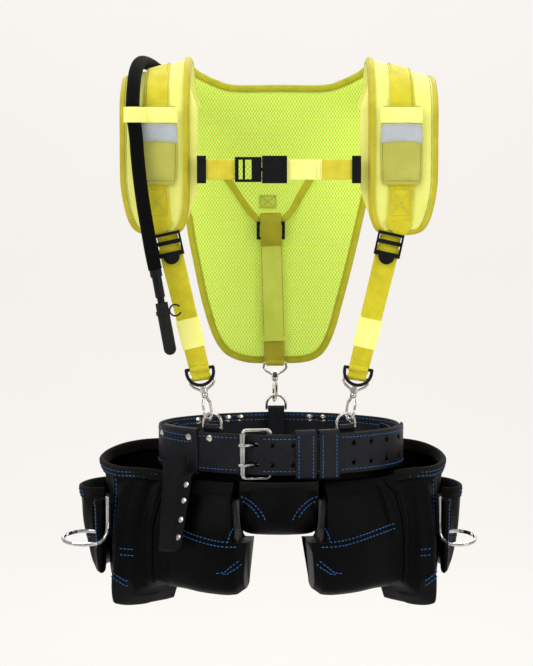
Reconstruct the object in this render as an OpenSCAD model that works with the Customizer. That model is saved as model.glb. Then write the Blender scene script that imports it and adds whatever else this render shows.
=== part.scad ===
// Carpenter's tool belt: a leather belt with pouches, hung from a hi-vis suspender harness that
// carries a drinking hose. X runs to the right seen from the front, -Y is the front and +Z is up.
// The origin is the middle of the waist loop, at half the height of the belt leather.

/* [Belt] */
// Half the width of the waist loop, along X
waist_half_w = 153; // [150:1:158]
// Half the depth of the waist loop, along Y
waist_half_d = 105; // [102:1:108]
// Radius of the sides of the waist loop
side_r = 75; // [74:1:77]
// Height of the belt leather
belt_h = 51; // [50:0.5:52]
// Thickness of the belt leather
belt_t = 4; // [3.8:0.1:4]
// Distance between pairs of holes in the tongue
hole_pitch = 25.4; // [24.5:0.1:26]
// Distance between the two rows of holes, and between the prongs
row_gap = 25; // [24:0.5:26]
// Diameter of a tongue hole
hole_d = 6; // [5:0.5:6.5]

/* [Buckle] */
// Outer height of the buckle frame
buckle_h = 66; // [65:0.5:67]
// Wire diameter of the buckle frame
buckle_wire = 4.5; // [4.2:0.1:4.6]
// Outer diameter of the roller
roller_d = 7.6; // [7.2:0.1:7.6]

/* [Pouches] */
// Depth of the main bags below the belt middle
bag_depth = 166; // [150:1:180]
// Wall thickness of the pouch leather
leather = 3; // [2.5:0.5:3]
// Wire diameter of the hammer loops
loop_wire = 5; // [4:0.5:5.5]

/* [Harness] */
// Distance from the middle to each shoulder pad
pad_x = 155; // [152:1:158]
// Thickness of the shoulder pads
pad_t = 12; // [10:0.5:13]
// Width of the harness webbing
webbing_w = 30; // [28:1:30]
// Thickness of the harness webbing
webbing_t = 1.8; // [1.5:0.1:1.8]
// Width of the chest strap webbing
chest_w = 25; // [23:1:25]
// Height of the chest strap above the belt
chest_z = 355; // [350:1:360]

/* [Hardware] */
// Wire diameter of the D-rings and snap hooks
ring_wire = 3.6; // [3.2:0.1:3.6]
// Inner radius of the snap hook bow, to the middle of its wire
hook_r = 7.5; // [7.5:0.1:7.8]

/* [Hose] */
// Outer diameter of the sleeved drinking hose
hose_d = 17; // [15:0.5:17]

/* [Hidden] */
$fn = 48;
gap = 0.3;          // air left between neighbouring solids
half_h = belt_h / 2;

// ---- waist oval: four arcs that meet tangentially, addressed by the angle of the outward normal
side_cx = waist_half_w - side_r;
narrow = waist_half_d - side_r;
big_k = (side_cx * side_cx - narrow * narrow) / (2 * narrow);
big_r = big_k + waist_half_d;
join_a = atan2(big_k, side_cx);
function wrap(t) = t - 360 * floor((t + 180) / 360);
function arc_of(t) = let (a = wrap(t))
  abs(a) <= join_a ? [side_cx, 0, side_r] :
  abs(a) >= 180 - join_a ? [-side_cx, 0, side_r] :
  a > 0 ? [0, -big_k, big_r] : [0, big_k, big_r];
function oval(t, d) = let (b = arc_of(t)) [b.x + (b.z + d) * cos(t), b.y + (b.z + d) * sin(t)];
function oval3(t, d, z) = let (p = oval(t, d)) [p.x, p.y, z];
function front_angle(x) = -90 + asin(x / big_r);          // normal angle at x on the front arc
function arc_angle(s) = -90 + s / big_r * 180 / PI;       // the same by length along the front
function tongue_angle(s) = let (front = (90 - join_a) * PI / 180 * big_r)
  s <= front ? arc_angle(s) : -join_a + (s - front) / side_r * 180 / PI;
function rev(v) = [for (i = [len(v) - 1:-1:0]) v[i]];
function lerp(a, b, k) = a + (b - a) * k;
function unit(v) = v / norm(v);
function smooth(k) = let (c = max(0, min(1, k))) c * c * (3 - 2 * c);

// A band that follows the oval between the distances in and out, which are lists or numbers
module oval_band(angles, inner, outer, z0, z1) {
  ins = [for (i = [0:len(angles) - 1]) oval(angles[i], is_list(inner) ? inner[i] : inner)];
  outs = [for (i = [0:len(angles) - 1]) oval(angles[i], is_list(outer) ? outer[i] : outer)];
  translate([0, 0, z0]) linear_extrude(z1 - z0) polygon(concat(outs, rev(ins)));
}
function spread(a, b, n) = [for (i = [0:n]) lerp(a, b, i / n)];

// A closed skin over rings of equal length, with a flat fan at each end
function sum3(v, i = 0) = i == len(v) ? [0, 0, 0] : v[i] + sum3(v, i + 1);
function loft_faces(m, n) = concat(
  [for (r = [0:m - 2]) for (i = [0:n - 1]) let (j = (i + 1) % n)
    each [[r * n + i, r * n + j, (r + 1) * n + j], [r * n + i, (r + 1) * n + j, (r + 1) * n + i]]],
  [for (i = [0:n - 1]) [m * n, (i + 1) % n, i]],
  [for (i = [0:n - 1]) let (b = (m - 1) * n) [m * n + 1, b + i, b + (i + 1) % n]]);
function six_volume(p, f, i = 0, t = 0) = i == len(f) ? t :
  six_volume(p, f, i + 1, t + cross(p[f[i][0]], p[f[i][1]]) * p[f[i][2]]);
module loft(rings) {
  m = len(rings);
  n = len(rings[0]);
  points = concat([for (r = rings) each r], [sum3(rings[0]) / n, sum3(rings[m - 1]) / n]);
  faces = loft_faces(m, n);
  polyhedron(points, six_volume(points, faces) > 0 ? [for (f = faces) rev(f)] : faces);
}
// Rings of a round tube through a list of points
function tube(pts, r, sides, up = [0.3, 0.9, 0.12]) = let (n = len(pts)) [for (i = [0:n - 1])
  let (w = unit(pts[min(i + 1, n - 1)] - pts[max(i - 1, 0)]), e = unit(cross(w, up)), f = cross(w, e))
  [for (k = [0:sides - 1]) pts[i] + r * (e * cos(360 * k / sides) + f * sin(360 * k / sides))]];
// A bar of round wire from a to b with round ends
module wire_bar(a, b, r, ends = true) {
  v = b - a;
  translate(a) rotate([0, acos(v.z / norm(v)), atan2(v.y, v.x)]) cylinder(r = r, h = norm(v), $fn = 20);
  if (ends) translate(b) sphere(r = r, $fn = 20);
}
// Round wire through a list of points
module wire(points, r) {
  translate(points[0]) sphere(r = r, $fn = 20);
  for (i = [1:len(points) - 1]) wire_bar(points[i - 1], points[i], r);
}
// Quarter, half or other arc of wire in the XZ plane, from angle a over sweep degrees
module wire_arc(radius, a, sweep, r) {
  rotate([90, 0, 0]) rotate([0, 0, a]) rotate_extrude(angle = sweep, $fn = 48)
    translate([radius, 0]) circle(r = r, $fn = 20);
}
// The harness is built for the wearer's side at -X and mirrored to the other side
module on_side(right) {
  if (right) mirror([1, 0, 0]) children();
  else children();
}
// Puts children on the belt: local X runs along the belt, local -Y points outward
module on_belt(t, d, z) {
  translate(oval3(t, d, z)) rotate([0, 0, t + 90]) children();
}

// ---- belt ---------------------------------------------------------------
heel_x = -11;
heel_d = -0.5;
roller_x = -45.5;
roller_lift = 8.4;
heel = oval(front_angle(heel_x), heel_d);
roller_at = [roller_x, big_k - sqrt(pow(big_r + roller_lift, 2) - roller_x * roller_x)];
prong_z = [row_gap / 2, -row_gap / 2];
tongue_step = [-40, -20];      // X where the tongue climbs over the heel bar
tongue_low = 0.2;
tongue_high = 5.1;
tongue_end = 215;              // length of the tongue past the middle of the front
backing = [-9.6, -7];          // where pouch leather runs behind the belt
function tongue_lift(t) = let (x = oval(t, 0).x)
  abs(wrap(t)) > 90 + 40 || wrap(t) > 0 ? (wrap(t) > -90 && abs(wrap(t)) < 90 ? tongue_high : tongue_low) :
  lerp(tongue_low, tongue_high, smooth((x - tongue_step[0]) / (tongue_step[1] - tongue_step[0])));

module back_belt() {
  color("#17171a") difference() {
    union() {
      oval_band(concat(spread(front_angle(heel_x), -join_a, 12), spread(-join_a + 6, join_a, 15),
        spread(join_a + 4, 180 - join_a, 20), spread(180 - join_a + 6, 180 + join_a, 15)),
        0, belt_t, -half_h, half_h);
      translate([heel.x, heel.y, -half_h]) cylinder(r = 5.3, h = belt_h);
    }
    translate([heel.x, heel.y, -half_h - 1]) cylinder(d = buckle_wire + 0.4, h = belt_h + 2);
    for (z = prong_z) translate([heel.x, heel.y, z - 3.2]) cylinder(r = 6.4, h = 6.4);
  }
}

module tongue_hole(s, z) {
  on_belt(tongue_angle(s), 0, z) rotate([90, 0, 0]) translate([0, 0, -2])
    cylinder(d = hole_d, h = 16, $fn = 32);
}
module tongue_strap() {
  left = concat([180 + join_a + 0.3], spread(180 + join_a + 4, 360 + front_angle(tongue_step[0]), 7));
  step = spread(360 + front_angle(-38.5), 360 + front_angle(-21.5), 8);
  right = concat(spread(360 + front_angle(tongue_step[1]), 360 - join_a, 13),
    spread(360 - join_a + 6, 360 + tongue_angle(tongue_end), 10));
  angles = concat(left, step, right);
  lifts = [for (t = angles) tongue_lift(t)];
  color("#1b1b1f") difference() {
    oval_band(angles, lifts, [for (d = lifts) d + belt_t], -half_h, half_h);
    for (z = prong_z) {
      for (i = [0:7]) tongue_hole(-8.1 + i * hole_pitch, z);
      for (x = [-36.6, -33, -29.5, -26.5]) translate([x, -90, z]) rotate([90, 0, 0])
        cylinder(d = 5.4, h = 30, $fn = 32);
      translate([-36.6, -120, z - 2.7]) cube([10.1, 30, 5.4]);
    }
  }
}
frame_span = [roller_at.x - heel.x, roller_at.y - heel.y];
frame_corner = 5;
function frame_point(k, z) = [heel.x + frame_span.x * k, heel.y + frame_span.y * k, z];
function frame_bend(k, z, a) = let (c = frame_corner / norm(frame_span))
  frame_point(k + (k > 0.5 ? -c : c) + c * cos(a), z - sign(z) * frame_corner + frame_corner * sin(a));
module buckle_frame() {
  z = (buckle_h - buckle_wire) / 2;
  color("silver") loft(tube(concat([frame_point(1, -0.3)], [for (a = [0:-15:-90]) frame_bend(1, -z, a)],
    [for (a = [-90:-15:-180]) frame_bend(0, -z, a)], [for (a = [180:-15:90]) frame_bend(0, z, a)],
    [for (a = [90:-15:0]) frame_bend(1, z, a)], [frame_point(1, 0.3)]), buckle_wire / 2, 16));
}
module buckle_roller() {
  color("silver") translate([roller_at.x, roller_at.y, -25.4]) difference() {
    cylinder(d = roller_d, h = 50.8);
    translate([0, 0, -1]) cylinder(d = buckle_wire + 0.4, h = 53);
  }
}
module prong(z) {
  r = 1.9;
  function lifted(x, d) = [x, big_k - sqrt(pow(big_r + d, 2) - x * x), z];
  color("silver") difference() {
    union() {
      translate([heel.x, heel.y, z - 2.2]) cylinder(r = 4.2, h = 4.4);
      loft(tube([lifted(-14.4, -0.4), lifted(-22, 0.1), lifted(-27, 0.6), lifted(-32, 5.2),
        lifted(-37.8, 10.8), lifted(-41, 13.4), lifted(-45.5, 14.9), lifted(-50, 15)], r, 12));
    }
    translate([heel.x, heel.y, z - 3]) cylinder(d = buckle_wire + 0.4, h = 6);
  }
}
module prong_upper() { prong(prong_z[0]); }
module prong_lower() { prong(prong_z[1]); }

// A leather loop that slides along both layers of the belt
keeper_w = 25;
keeper_at = [32, 61];
module keeper(s) {
  half = keeper_w / 2;
  angles = [for (k = spread(s - half, s + half, 4)) arc_angle(k)];
  color("#202024") difference() {
    oval_band(angles, -1.7, 12.4, -32, 32);
    oval_band([for (k = spread(s - half - 3, s + half + 3, 6)) arc_angle(k)], -0.5, 9.7, -28.8, 28.8);
  }
}
module keeper_inner() { keeper(keeper_at[0]); }
module keeper_outer() { keeper(keeper_at[1]); }

// Domed rivet heads: on the rear inside, the front left and the sheath flange
rear_rivets = [-109, -69, -53, -7, 42, 60, 99];
front_rivets = [[-150, 7.6], [-125, 7.6], [-116.6, 4.2]];   // normal angle, distance out
flange_rivets = [36, 56, 80, 102];                          // along the sheath
module rivet_head(r) {
  intersection() {
    translate([0, 0, 1.6 - 2.6 * r]) sphere(r = 2.6 * r, $fn = 40);
    cylinder(r = r, h = 3, $fn = 32);
  }
}
module rivets() {
  color("gainsboro") {
    for (x = rear_rivets) on_belt(90 - asin(x / big_r), -0.4, 18.6) rotate([-90, 0, 0]) rivet_head(4.4);
    for (p = front_rivets) on_belt(p[0], p[1] + 0.1, 18) rotate([90, 0, 0]) rivet_head(4);
    for (k = flange_rivets) in_sheath(sheath_point(k, flange_edge(k) - 5, 3.1)) rivet_head(3.6);
  }
}

// ---- belt D-rings -------------------------------------------------------
dring_x = 86;
dring_z = 31;
dring_r = 13;
dring_d = -4.2;
dring_angles = [-180 - front_angle(dring_x), front_angle(dring_x), 91.2];
module dring_tab(t) {
  on_belt(t, dring_d, 0) difference() {
    union() {
      translate([-11, 0, -12]) cube([22, 2.6, 12 + dring_z]);
      translate([-11, 0, dring_z]) rotate([0, 90, 0]) cylinder(r = 4.2, h = 22);
    }
    translate([-12, 0, dring_z]) rotate([0, 90, 0]) cylinder(r = ring_wire / 2 + 0.3, h = 24);
  }
}
module dring_tabs() { color("#1d1d20") for (t = dring_angles) dring_tab(t); }
module dring(t) {
  r = ring_wire / 2;
  color("silver") on_belt(t, dring_d, dring_z) union() {
    wire_bar([-dring_r, 0, 0], [dring_r, 0, 0], r);
    translate([-dring_r, 0, 0]) sphere(r = r, $fn = 20);
    for (x = [-dring_r, dring_r]) wire_bar([x, 0, 0], [x, 0, 5], r, false);
    translate([0, 0, 5]) wire_arc(dring_r, 0, 180, r);
  }
}
module belt_dring_left() { dring(dring_angles[0]); }
module belt_dring_right() { dring(dring_angles[1]); }
module belt_dring_rear() { dring(dring_angles[2]); }

// ---- pouches ------------------------------------------------------------
// Outer shape of a main bag at normal angle t, left side: [angle, belly, rim, rim height, bottom]
bag_rows = [[146, 16, 12, -4, -140], [154, 46, 40, -6, -158], [164, 66, 62, -10, -168],
  [176, 70, 76, -16, -176], [188, 68, 80, -20, -186], [198, 66, 76, -22, -194], [207, 75, 66, -24, -204],
  [215, 66, 46, -25, -179], [222, 54, 26, -28, -173], [228, 41, 10, -35, -174], [236, 40, 6, -36, -173],
  [244, 41, 6, -36, -174], [252, 40, 6, -36, -175], [257, 37, 5, -36, -174], [260, 30, 4, -36, -168]];
bag_open_to = 222;
// The right hip hangs closer to the body: lengths beyond squeeze_x shrink by squeeze there
squeeze_x = 150;
squeeze = 0.8;
function squeezed(p, k) = p.x < -squeeze_x ? [-squeeze_x + (p.x + squeeze_x) * k, p.y, p.z] : p;
module on_hip(right) {
  if (right) mirror([1, 0, 0]) translate([-squeeze_x, 0, 0]) scale([squeeze, 1, 1])
    translate([squeeze_x, 0, 0]) children();
  else children();
}
bag_scale = bag_depth / 166;
// inset 0 gives the skin, inset = leather gives the hollow
function bag_ring(row, inset) = let (t = row[0], b = row[1] - inset, r = row[2] - inset,
  low = row[4] * bag_scale + inset, din = backing[0] + inset, span = row[3] - low,
  top = row[3] + (inset == 0 ? 0 : t <= bag_open_to ? 45 : -6))
  [oval3(t, din, top), oval3(t, din, low + 14), oval3(t, din + 7, low + 2), oval3(t, b / 2, low),
   oval3(t, b - 9, low + 3), oval3(t, b - 1, low + 14), oval3(t, b + 1, low + span * 0.35),
   oval3(t, b, low + span * 0.6), oval3(t, lerp(b, r, 0.45), low + span * 0.85),
   oval3(t, r, row[3] - inset / 2), oval3(t, r, top), oval3(t, (r + din) / 2, top)];
module bag(k) {
  last = len(bag_rows) - 1;
  color("#101012") difference() {
    union() {
      loft([for (row = bag_rows) [for (p = bag_ring(row, 0)) squeezed(p, k)]]);
      oval_band(spread(148, 256, 24), backing[0], backing[1], -60, 20);
    }
    loft([for (i = [0:last]) let (row = bag_rows[i],
      t = row[0] + (i == 0 ? 2.4 : i == last ? -7 : i == last - 1 ? -4.6 : 0))
      [for (p = bag_ring([t, row[1], row[2], row[3], row[4]], leather)) squeezed(p, k)]]);
    oval_band(spread(140, 270, 30), -6.9, 14, -33, 60);
    translate([-51, -160, -106]) cube([63, 120, 150]);
  }
}
module main_bag_left() { bag(1); }
module main_bag_right() { on_side(true) bag(squeeze); }

// Small pouch on the hip, outside the main bag: [angle, inner, outer rim, outer bottom]
side_rows = [[156, 56, 84, 74], [162, 67, 97, 84], [170, 72.5, 105, 90], [178, 74.5, 108, 92],
  [185, 74.5, 105, 91], [190, 74, 92, 84]];
side_rim = -58;
side_low = -168;
function side_ring(row, inset) = let (t = row[0], din = row[1] + inset,
  rim = row[2] - inset, low = row[3] - inset, zt = side_rim + (inset > 0 ? 20 : 0),
  zb = side_low + inset)
  [oval3(t, din, zt), oval3(t, din, zb + 10), oval3(t, (din + low) / 2, zb), oval3(t, low, zb + 16),
   oval3(t, lerp(low, rim, 0.6), lerp(side_low, side_rim, 0.5)), oval3(t, rim, zt)];
module side_pouch() {
  last = len(side_rows) - 1;
  color("#121214") difference() {
    loft([for (row = side_rows) side_ring(row, 0)]);
    loft([for (i = [0:last]) let (row = side_rows[i], t = row[0] + (i == 0 ? 1.2 : i == last ? -1.2 : 0))
      side_ring([t, row[1], row[2], row[3]], 2.4)]);
  }
}
module side_pouch_left() { side_pouch(); }
module side_pouch_right() { on_hip(true) side_pouch(); }

// Flat centre pouch under the buckle, open at the top
module centre_pouch() {
  color("#121215") difference() {
    union() {
      loft([for (x = [-46, -34, -17, 0, 17, 34, 46]) let (t = front_angle(x), k = 1 - pow(x / 52, 2),
        low = -103.5 + 4 * pow(abs(x) / 46, 8))
        [oval3(t, backing[0], -34), oval3(t, backing[0], low + 8), oval3(t, 0, low),
         oval3(t, 13 + 12 * k, low + 3), oval3(t, 13 + 18 * k, low + 14), oval3(t, 13 + 15 * k, -64),
         oval3(t, 14 + 4 * k, -35), oval3(t, 2, -34)]]);
      oval_band(spread(front_angle(-45), front_angle(45), 12), backing[0], backing[1], -60, 20);
    }
    loft([for (x = [-42.5, -32, -16, 0, 16, 32, 42.5]) let (t = front_angle(x), k = 1 - pow(x / 52, 2),
      low = -103.5 + 4 * pow(abs(x) / 46, 8) + leather)
      [oval3(t, backing[1], -10), oval3(t, backing[1], low + 8), oval3(t, 0, low),
       oval3(t, 10 + 12 * k, low + 3), oval3(t, 10 + 18 * k, low + 14), oval3(t, 10 + 15 * k, -64),
       oval3(t, 11 + 4 * k, -35), oval3(t, 11 + 4 * k, -10)]]);
    oval_band(spread(-106, -74, 12), -6.9, 14, -33, 60);
  }
}

// Tool sheath: a hanger round the tongue on the left carries an open tube with a riveted flange
sheath_top = [-131, -88, -8];
sheath_foot = [-138, -131, -116];
sheath_dir = unit(sheath_foot - sheath_top);
sheath_side = unit(cross([-0.57, -0.82, 0], sheath_dir));
sheath_front = cross(sheath_dir, sheath_side);
sheath_len = norm(sheath_foot - sheath_top);
function flange_edge(k) = 33 - k / 10;
function sheath_point(k, u, v) = sheath_top + sheath_dir * k + sheath_side * u + sheath_front * v;
module in_sheath(p) {
  x = sheath_side;
  y = -sheath_dir;
  z = sheath_front;
  multmatrix([[x.x, y.x, z.x, p.x], [x.y, y.y, z.y, p.y], [x.z, y.z, z.z, p.z], [0, 0, 0, 1]]) children();
}
function sheath_ring(k, half_w, half_t) = [for (a = [0:30:330])
  sheath_point(k, half_w * cos(a), half_t * sin(a))];
module tool_sheath() {
  color("#2c2d30") difference() {
    union() {
      loft([sheath_ring(0, 17, 10), sheath_ring(sheath_len, 13, 9)]);
      loft([for (k = [24, sheath_len]) [sheath_point(k, 11.5, 0), sheath_point(k, flange_edge(k), 0),
        sheath_point(k, flange_edge(k), 3), sheath_point(k, 11.5, 3)]]);
    }
    loft([sheath_ring(-1, 14.6, 7.6), sheath_ring(sheath_len - 3, 10.6, 6.6)]);
  }
}
module sheath_hanger() {
  angles = spread(-152, -122, 10);
  color("#18181b") difference() {
    union() {
      oval_band(angles, -3.2, 7.6, -30, 30);
      loft([for (t = spread(-131, -122.5, 4)) [oval3(t, 7.8, -30), oval3(t, 7.8, -20),
        oval3(t, 10.8, -24), oval3(t, 28, -47), oval3(t, 39.5, -76), oval3(t, 37.8, -77),
        oval3(t, 25.4, -50)]]);
    }
    oval_band(spread(-156, -118, 12), -0.4, 4.6, -26.6, 26.6);
  }
}

// Hammer loops: one wire, a straight leg riveted to the bag and a ring that sticks out sideways
loop_leg = oval(205.2, 80.4);
loop_centre = [-247.2, -66, -113.5];
loop_r = 28.7;
loop_tilt = 0.11;              // rise of the ring toward the back
function loop_point(a, z) = [loop_centre.x + loop_r * cos(a), loop_centre.y + loop_r * sin(a), z];
function loop_level(a) = loop_point(a, loop_centre.z + loop_tilt * loop_r * sin(a));
module hammer_loop() {
  color("silver") loft(tube(concat([[loop_leg.x, loop_leg.y, -60], [loop_leg.x, loop_leg.y, -94],
    [loop_leg.x - 0.3, loop_leg.y - 1.6, -102], loop_point(-14, -108.2), loop_point(-28, -112.6),
    loop_point(-42, -115.2)], [for (a = [-56:-15.5:-304]) loop_level(a)]), loop_wire / 2, 12));
}
module hammer_loop_left() { hammer_loop(); }
module hammer_loop_right() { on_hip(true) hammer_loop(); }

// Leather backing plates of the hammer loops, each with three rivet heads
module hammer_bracket() {
  on_belt(203.2, 76.1, -108) translate([-8, -1.5, 0]) cube([16, 1.5, 50]);
  for (z = [-67, -81, -99]) on_belt(202.3, 77.75, z) rotate([90, 0, 0]) rivet_head(3);
}
module hammer_brackets() {
  color("#141416") {
    hammer_bracket();
    on_hip(true) hammer_bracket();
  }
}
// Open leather tube for a pencil, sewn on beside the hammer loop
module pencil_sleeve() {
  module taper(levels) {
    loft([for (v = levels) [for (a = [0:20:340]) [-229.5 + v[1] * cos(a), -54.5 + v[1] * sin(a), v[0]]]]);
  }
  difference() {
    union() {
      taper([[-158, 3.6], [-134, 5.6], [-66, 7.4]]);
      on_belt(199.4, 69.2, -100) translate([-1, -10.6, 0]) cube([2, 10.6, 28]);
    }
    taper([[-140, 3.2], [-66, 5.6], [-60, 5.8]]);
  }
}
module pencil_sleeves() {
  color("#131315") {
    pencil_sleeve();
    on_hip(true) pencil_sleeve();
  }
}

// ---- harness ------------------------------------------------------------
panel_y = 96;             // inner face of the back panel
panel_t = 11;
arch_z = 418;             // where the shoulder arch springs from
arch_top = 78;
arch_front = -86;
arch_back = 94;
panel_edge = [[121, 490], [128, 455], [133, 420], [130, 360], [123, 280], [112, 220], [103, 178],
  [91, 138], [80, 116], [66, 103], [40, 95]];
panel_right = [[121, 490], [128, 455], [133, 420], [127, 360], [110, 280], [96, 220], [85, 178],
  [74, 138], [62, 112], [48, 100], [28, 95]];
neck = [[60, 466], [85, 473], [104, 482]];
module back_panel() {
  outline = concat(panel_right, [for (p = rev(panel_edge)) [-p.x, p.y]], [for (p = rev(neck)) [-p.x, p.y]],
    neck);
  color("#b9ec2c") translate([0, panel_y + panel_t, 0]) rotate([90, 0, 0]) linear_extrude(panel_t)
    polygon(outline);
}
// Shell for the drinking reservoir behind the back panel, open at the top
function lens_ring(z, half_w, depth, y0) = concat([for (k = [1:-0.25:-1]) [half_w * k, y0, z]],
  [for (k = [-0.95:0.19:0.96]) [half_w * k, y0 + depth * pow(1 - k * k, 0.45), z]]);
sleeve_rows = [[128, 44, 6], [138, 58, 20], [180, 72, 30], [260, 90, 34], [340, 101, 34], [412, 102, 31]];
sleeve_y = panel_y + panel_t + gap;
module reservoir_sleeve() {
  color("#9cc832") difference() {
    loft([for (r = sleeve_rows) lens_ring(r[0], r[1], r[2], sleeve_y)]);
    loft([for (r = sleeve_rows) let (z = r[0] == 412 ? 430 : r[0] + 3)
      lens_ring(z, r[1] - 2.6, r[2] - 4.6, sleeve_y + 2.2)]);
  }
}
module reservoir() {
  color("#9fb4bd") union() {
    loft([for (r = [[146, 40, 8], [160, 52, 17], [200, 64, 22], [260, 76, 25], [330, 86, 22], [380, 84, 12]])
      lens_ring(r[0], r[1], r[2], sleeve_y + 2.8)]);
    translate([port_at.x, port_at.y, 370]) cylinder(d = hose_d + 1, h = port_at.z - 370 - 0.2);
  }
}

// A flat strap through stations [centre, across, normal]; the thickness grows along the normal
function strap_ring(c, e, n, w, t) =
  [c - e * w / 2, c + e * w / 2, c + e * w / 2 + n * t, c - e * w / 2 + n * t];
rear_top = [-12, panel_y - 2.5, 318];
rear_foot = [-5.8, panel_y - 3.5, 93];
frame_bar_z = 94;
frame_bar_y = -80.5;
rear_hook = [-5.5, 91.4, frame_bar_z];
rear_lean = 12;
bar_bore = ring_wire / 2 + 0.3;
module rear_strap() {
  x = [1, 0, 0];
  color("#d8cf2a") difference() {
    union() {
      loft([for (k = [0, 0.5, 1]) strap_ring(lerp(rear_top, rear_foot, k), x, [0, -1, 0], 28, webbing_t)]);
      translate(rear_hook + [-12, 0, 0]) rotate([0, 90, 0]) cylinder(r = bar_bore + 1.7, h = 24);
    }
    translate(rear_hook + [-16, 0, 0]) rotate([0, 90, 0]) cylinder(r = bar_bore, h = 32);
  }
}
module strap_cover() {
  color("#c9ef3a") difference() {
    loft([for (z = [258, 190, 124]) let (k = (rear_top.z - z) / (rear_top.z - rear_foot.z),
      c = lerp(rear_top, rear_foot, k)) strap_ring([c.x, c.y + 1.8, z], [1, 0, 0], [0, -1, 0], 34, 5.4)]);
    loft([for (z = [262, 190, 120]) let (k = (rear_top.z - z) / (rear_top.z - rear_foot.z),
      c = lerp(rear_top, rear_foot, k)) strap_ring([c.x, c.y + 0.3, z], [1, 0, 0], [0, -1, 0], 29, 2.4)]);
  }
}
module rear_triglide() {
  color("#1c1c1e") translate([-11, rear_top.y - 3, 273]) difference() {
    translate([-19, -4, -12]) cube([38, 4.6, 24]);
    translate([-14.8, -5, -8.5]) cube([29.6, 8, 17]);
  }
}

// Shoulder pad path, stations from the front foot over the shoulder to the back
function arch(f) = let (a = (arch_back - arch_front) / 2)
  [(arch_back + arch_front) / 2 - a * cos(f), arch_z + arch_top * sin(f),
   unit([0, -cos(f) / a, sin(f) / arch_top]), sin(f)];
pad_front = [[-88, 277, 21], [-87.8, 284, 30], [-87.5, 298, 36], [-87, 325, 40], [-86.5, 360, 41],
  [-86, 392, 41]];
pad_arch = [0:15:165];
stations = concat([for (p = pad_front) [p[0], p[1], [0, -1, 0], 0, p[2]]],
  [for (f = pad_arch) concat(arch(f), [41])]);
function pad_centre(z) = -pad_x + 4 * max(0, (340 - z) / 60);
// Point on the pad: u across (toward the neck), h out of the front surface
function pad_point(s, u, h) = let (slope = (41 - u) * 0.28 * s[3])
  [pad_centre(s[1]) + u, s[0] + s[2].y * h, s[1] + s[2].z * h - slope];
function pad_ring(s) = let (w = s[4], t = pad_t, 
  inner = w + 13 * smooth((s[1] - 290) / 50) * (1 - smooth((s[3] - 0.1) / 0.5))) [
  pad_point(s, -w, -4), pad_point(s, -w + 5, -1), pad_point(s, -w * 0.4, 0), pad_point(s, w * 0.5, 0),
  pad_point(s, w - 4, -1), pad_point(s, inner, -6), pad_point(s, inner - 2, -10), pad_point(s, w * 0.6, -t),
  pad_point(s, -w * 0.5, -t), pad_point(s, -w + 3, -8)];
module shoulder_pad() { color("#e9ec56") loft([for (s = stations) pad_ring(s)]); }
module shoulder_pad_left() { shoulder_pad(); }
module shoulder_pad_right() { on_side(true) shoulder_pad(); }

lock_at = [-137, -90, 262];
strap_angle = 12.2;
strap_dir = [sin(strap_angle), 0, -cos(strap_angle)];
strap_across = [cos(strap_angle), 0, sin(strap_angle)];
module pad_webbing() {
  shown = [for (s = stations) if (s[1] > 283 || s[3] > 0) s];
  color("#d9d02c") loft(concat(
    [strap_ring(lock_at - strap_dir * 17 + [0, 0.6, 0], strap_across, [0, -1, 0], webbing_w - 2, webbing_t)],
    [for (s = shown) [pad_point(s, 2 - webbing_w / 2, 0.4), pad_point(s, 2 + webbing_w / 2, 0.4),
      pad_point(s, 2 + webbing_w / 2, 0.4 + webbing_t), pad_point(s, 2 - webbing_w / 2, 0.4 + webbing_t)]]));
}
module pad_webbing_left() { pad_webbing(); }
module pad_webbing_right() { on_side(true) pad_webbing(); }

// Flat pocket on the front of each pad
module pad_pocket() {
  rows = [[338, 23, 3], [344, 26, 6], [380, 27, 8], [412, 25.5, 8], [432, 22, 6]];
  color("#dcdc3a") loft([for (r = rows) let (z = r[0], w = r[1], y = arch_front - 4, t = r[2])
    [[-152 - w, y, z], [-152 + w, y, z], [-152 + w, y - t * 0.6, z], [-152 + w - 7, y - t, z],
     [-152 - w + 7, y - t, z], [-152 - w, y - t * 0.6, z]]]);
}
module pad_pocket_left() { pad_pocket(); }
module pad_pocket_right() { on_side(true) pad_pocket(); }

// Ladder lock: a slotted plate whose top bar sits in the pad webbing, with a rounded pull tab
module ladder_lock() {
  color("#1b1b1d") translate(lock_at) rotate([0, -strap_angle, 0]) translate([0, -2.2, 0]) {
    difference() {
      translate([-16.5, -2, -15]) cube([33, 4, 30]);
      translate([-14, -3, 5]) cube([28, 6, 6.4]);
      translate([-14, -3, -9.5]) cube([28, 6, 9.5]);
    }
    translate([0, 2, -15]) rotate([90, 0, 0]) difference() {
      cylinder(r = 10, h = 4);
      translate([-12, 0, -1]) cube([24, 12, 6]);
    }
  }
}
module ladder_lock_left() { ladder_lock(); }
module ladder_lock_right() { on_side(true) ladder_lock(); }

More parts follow.
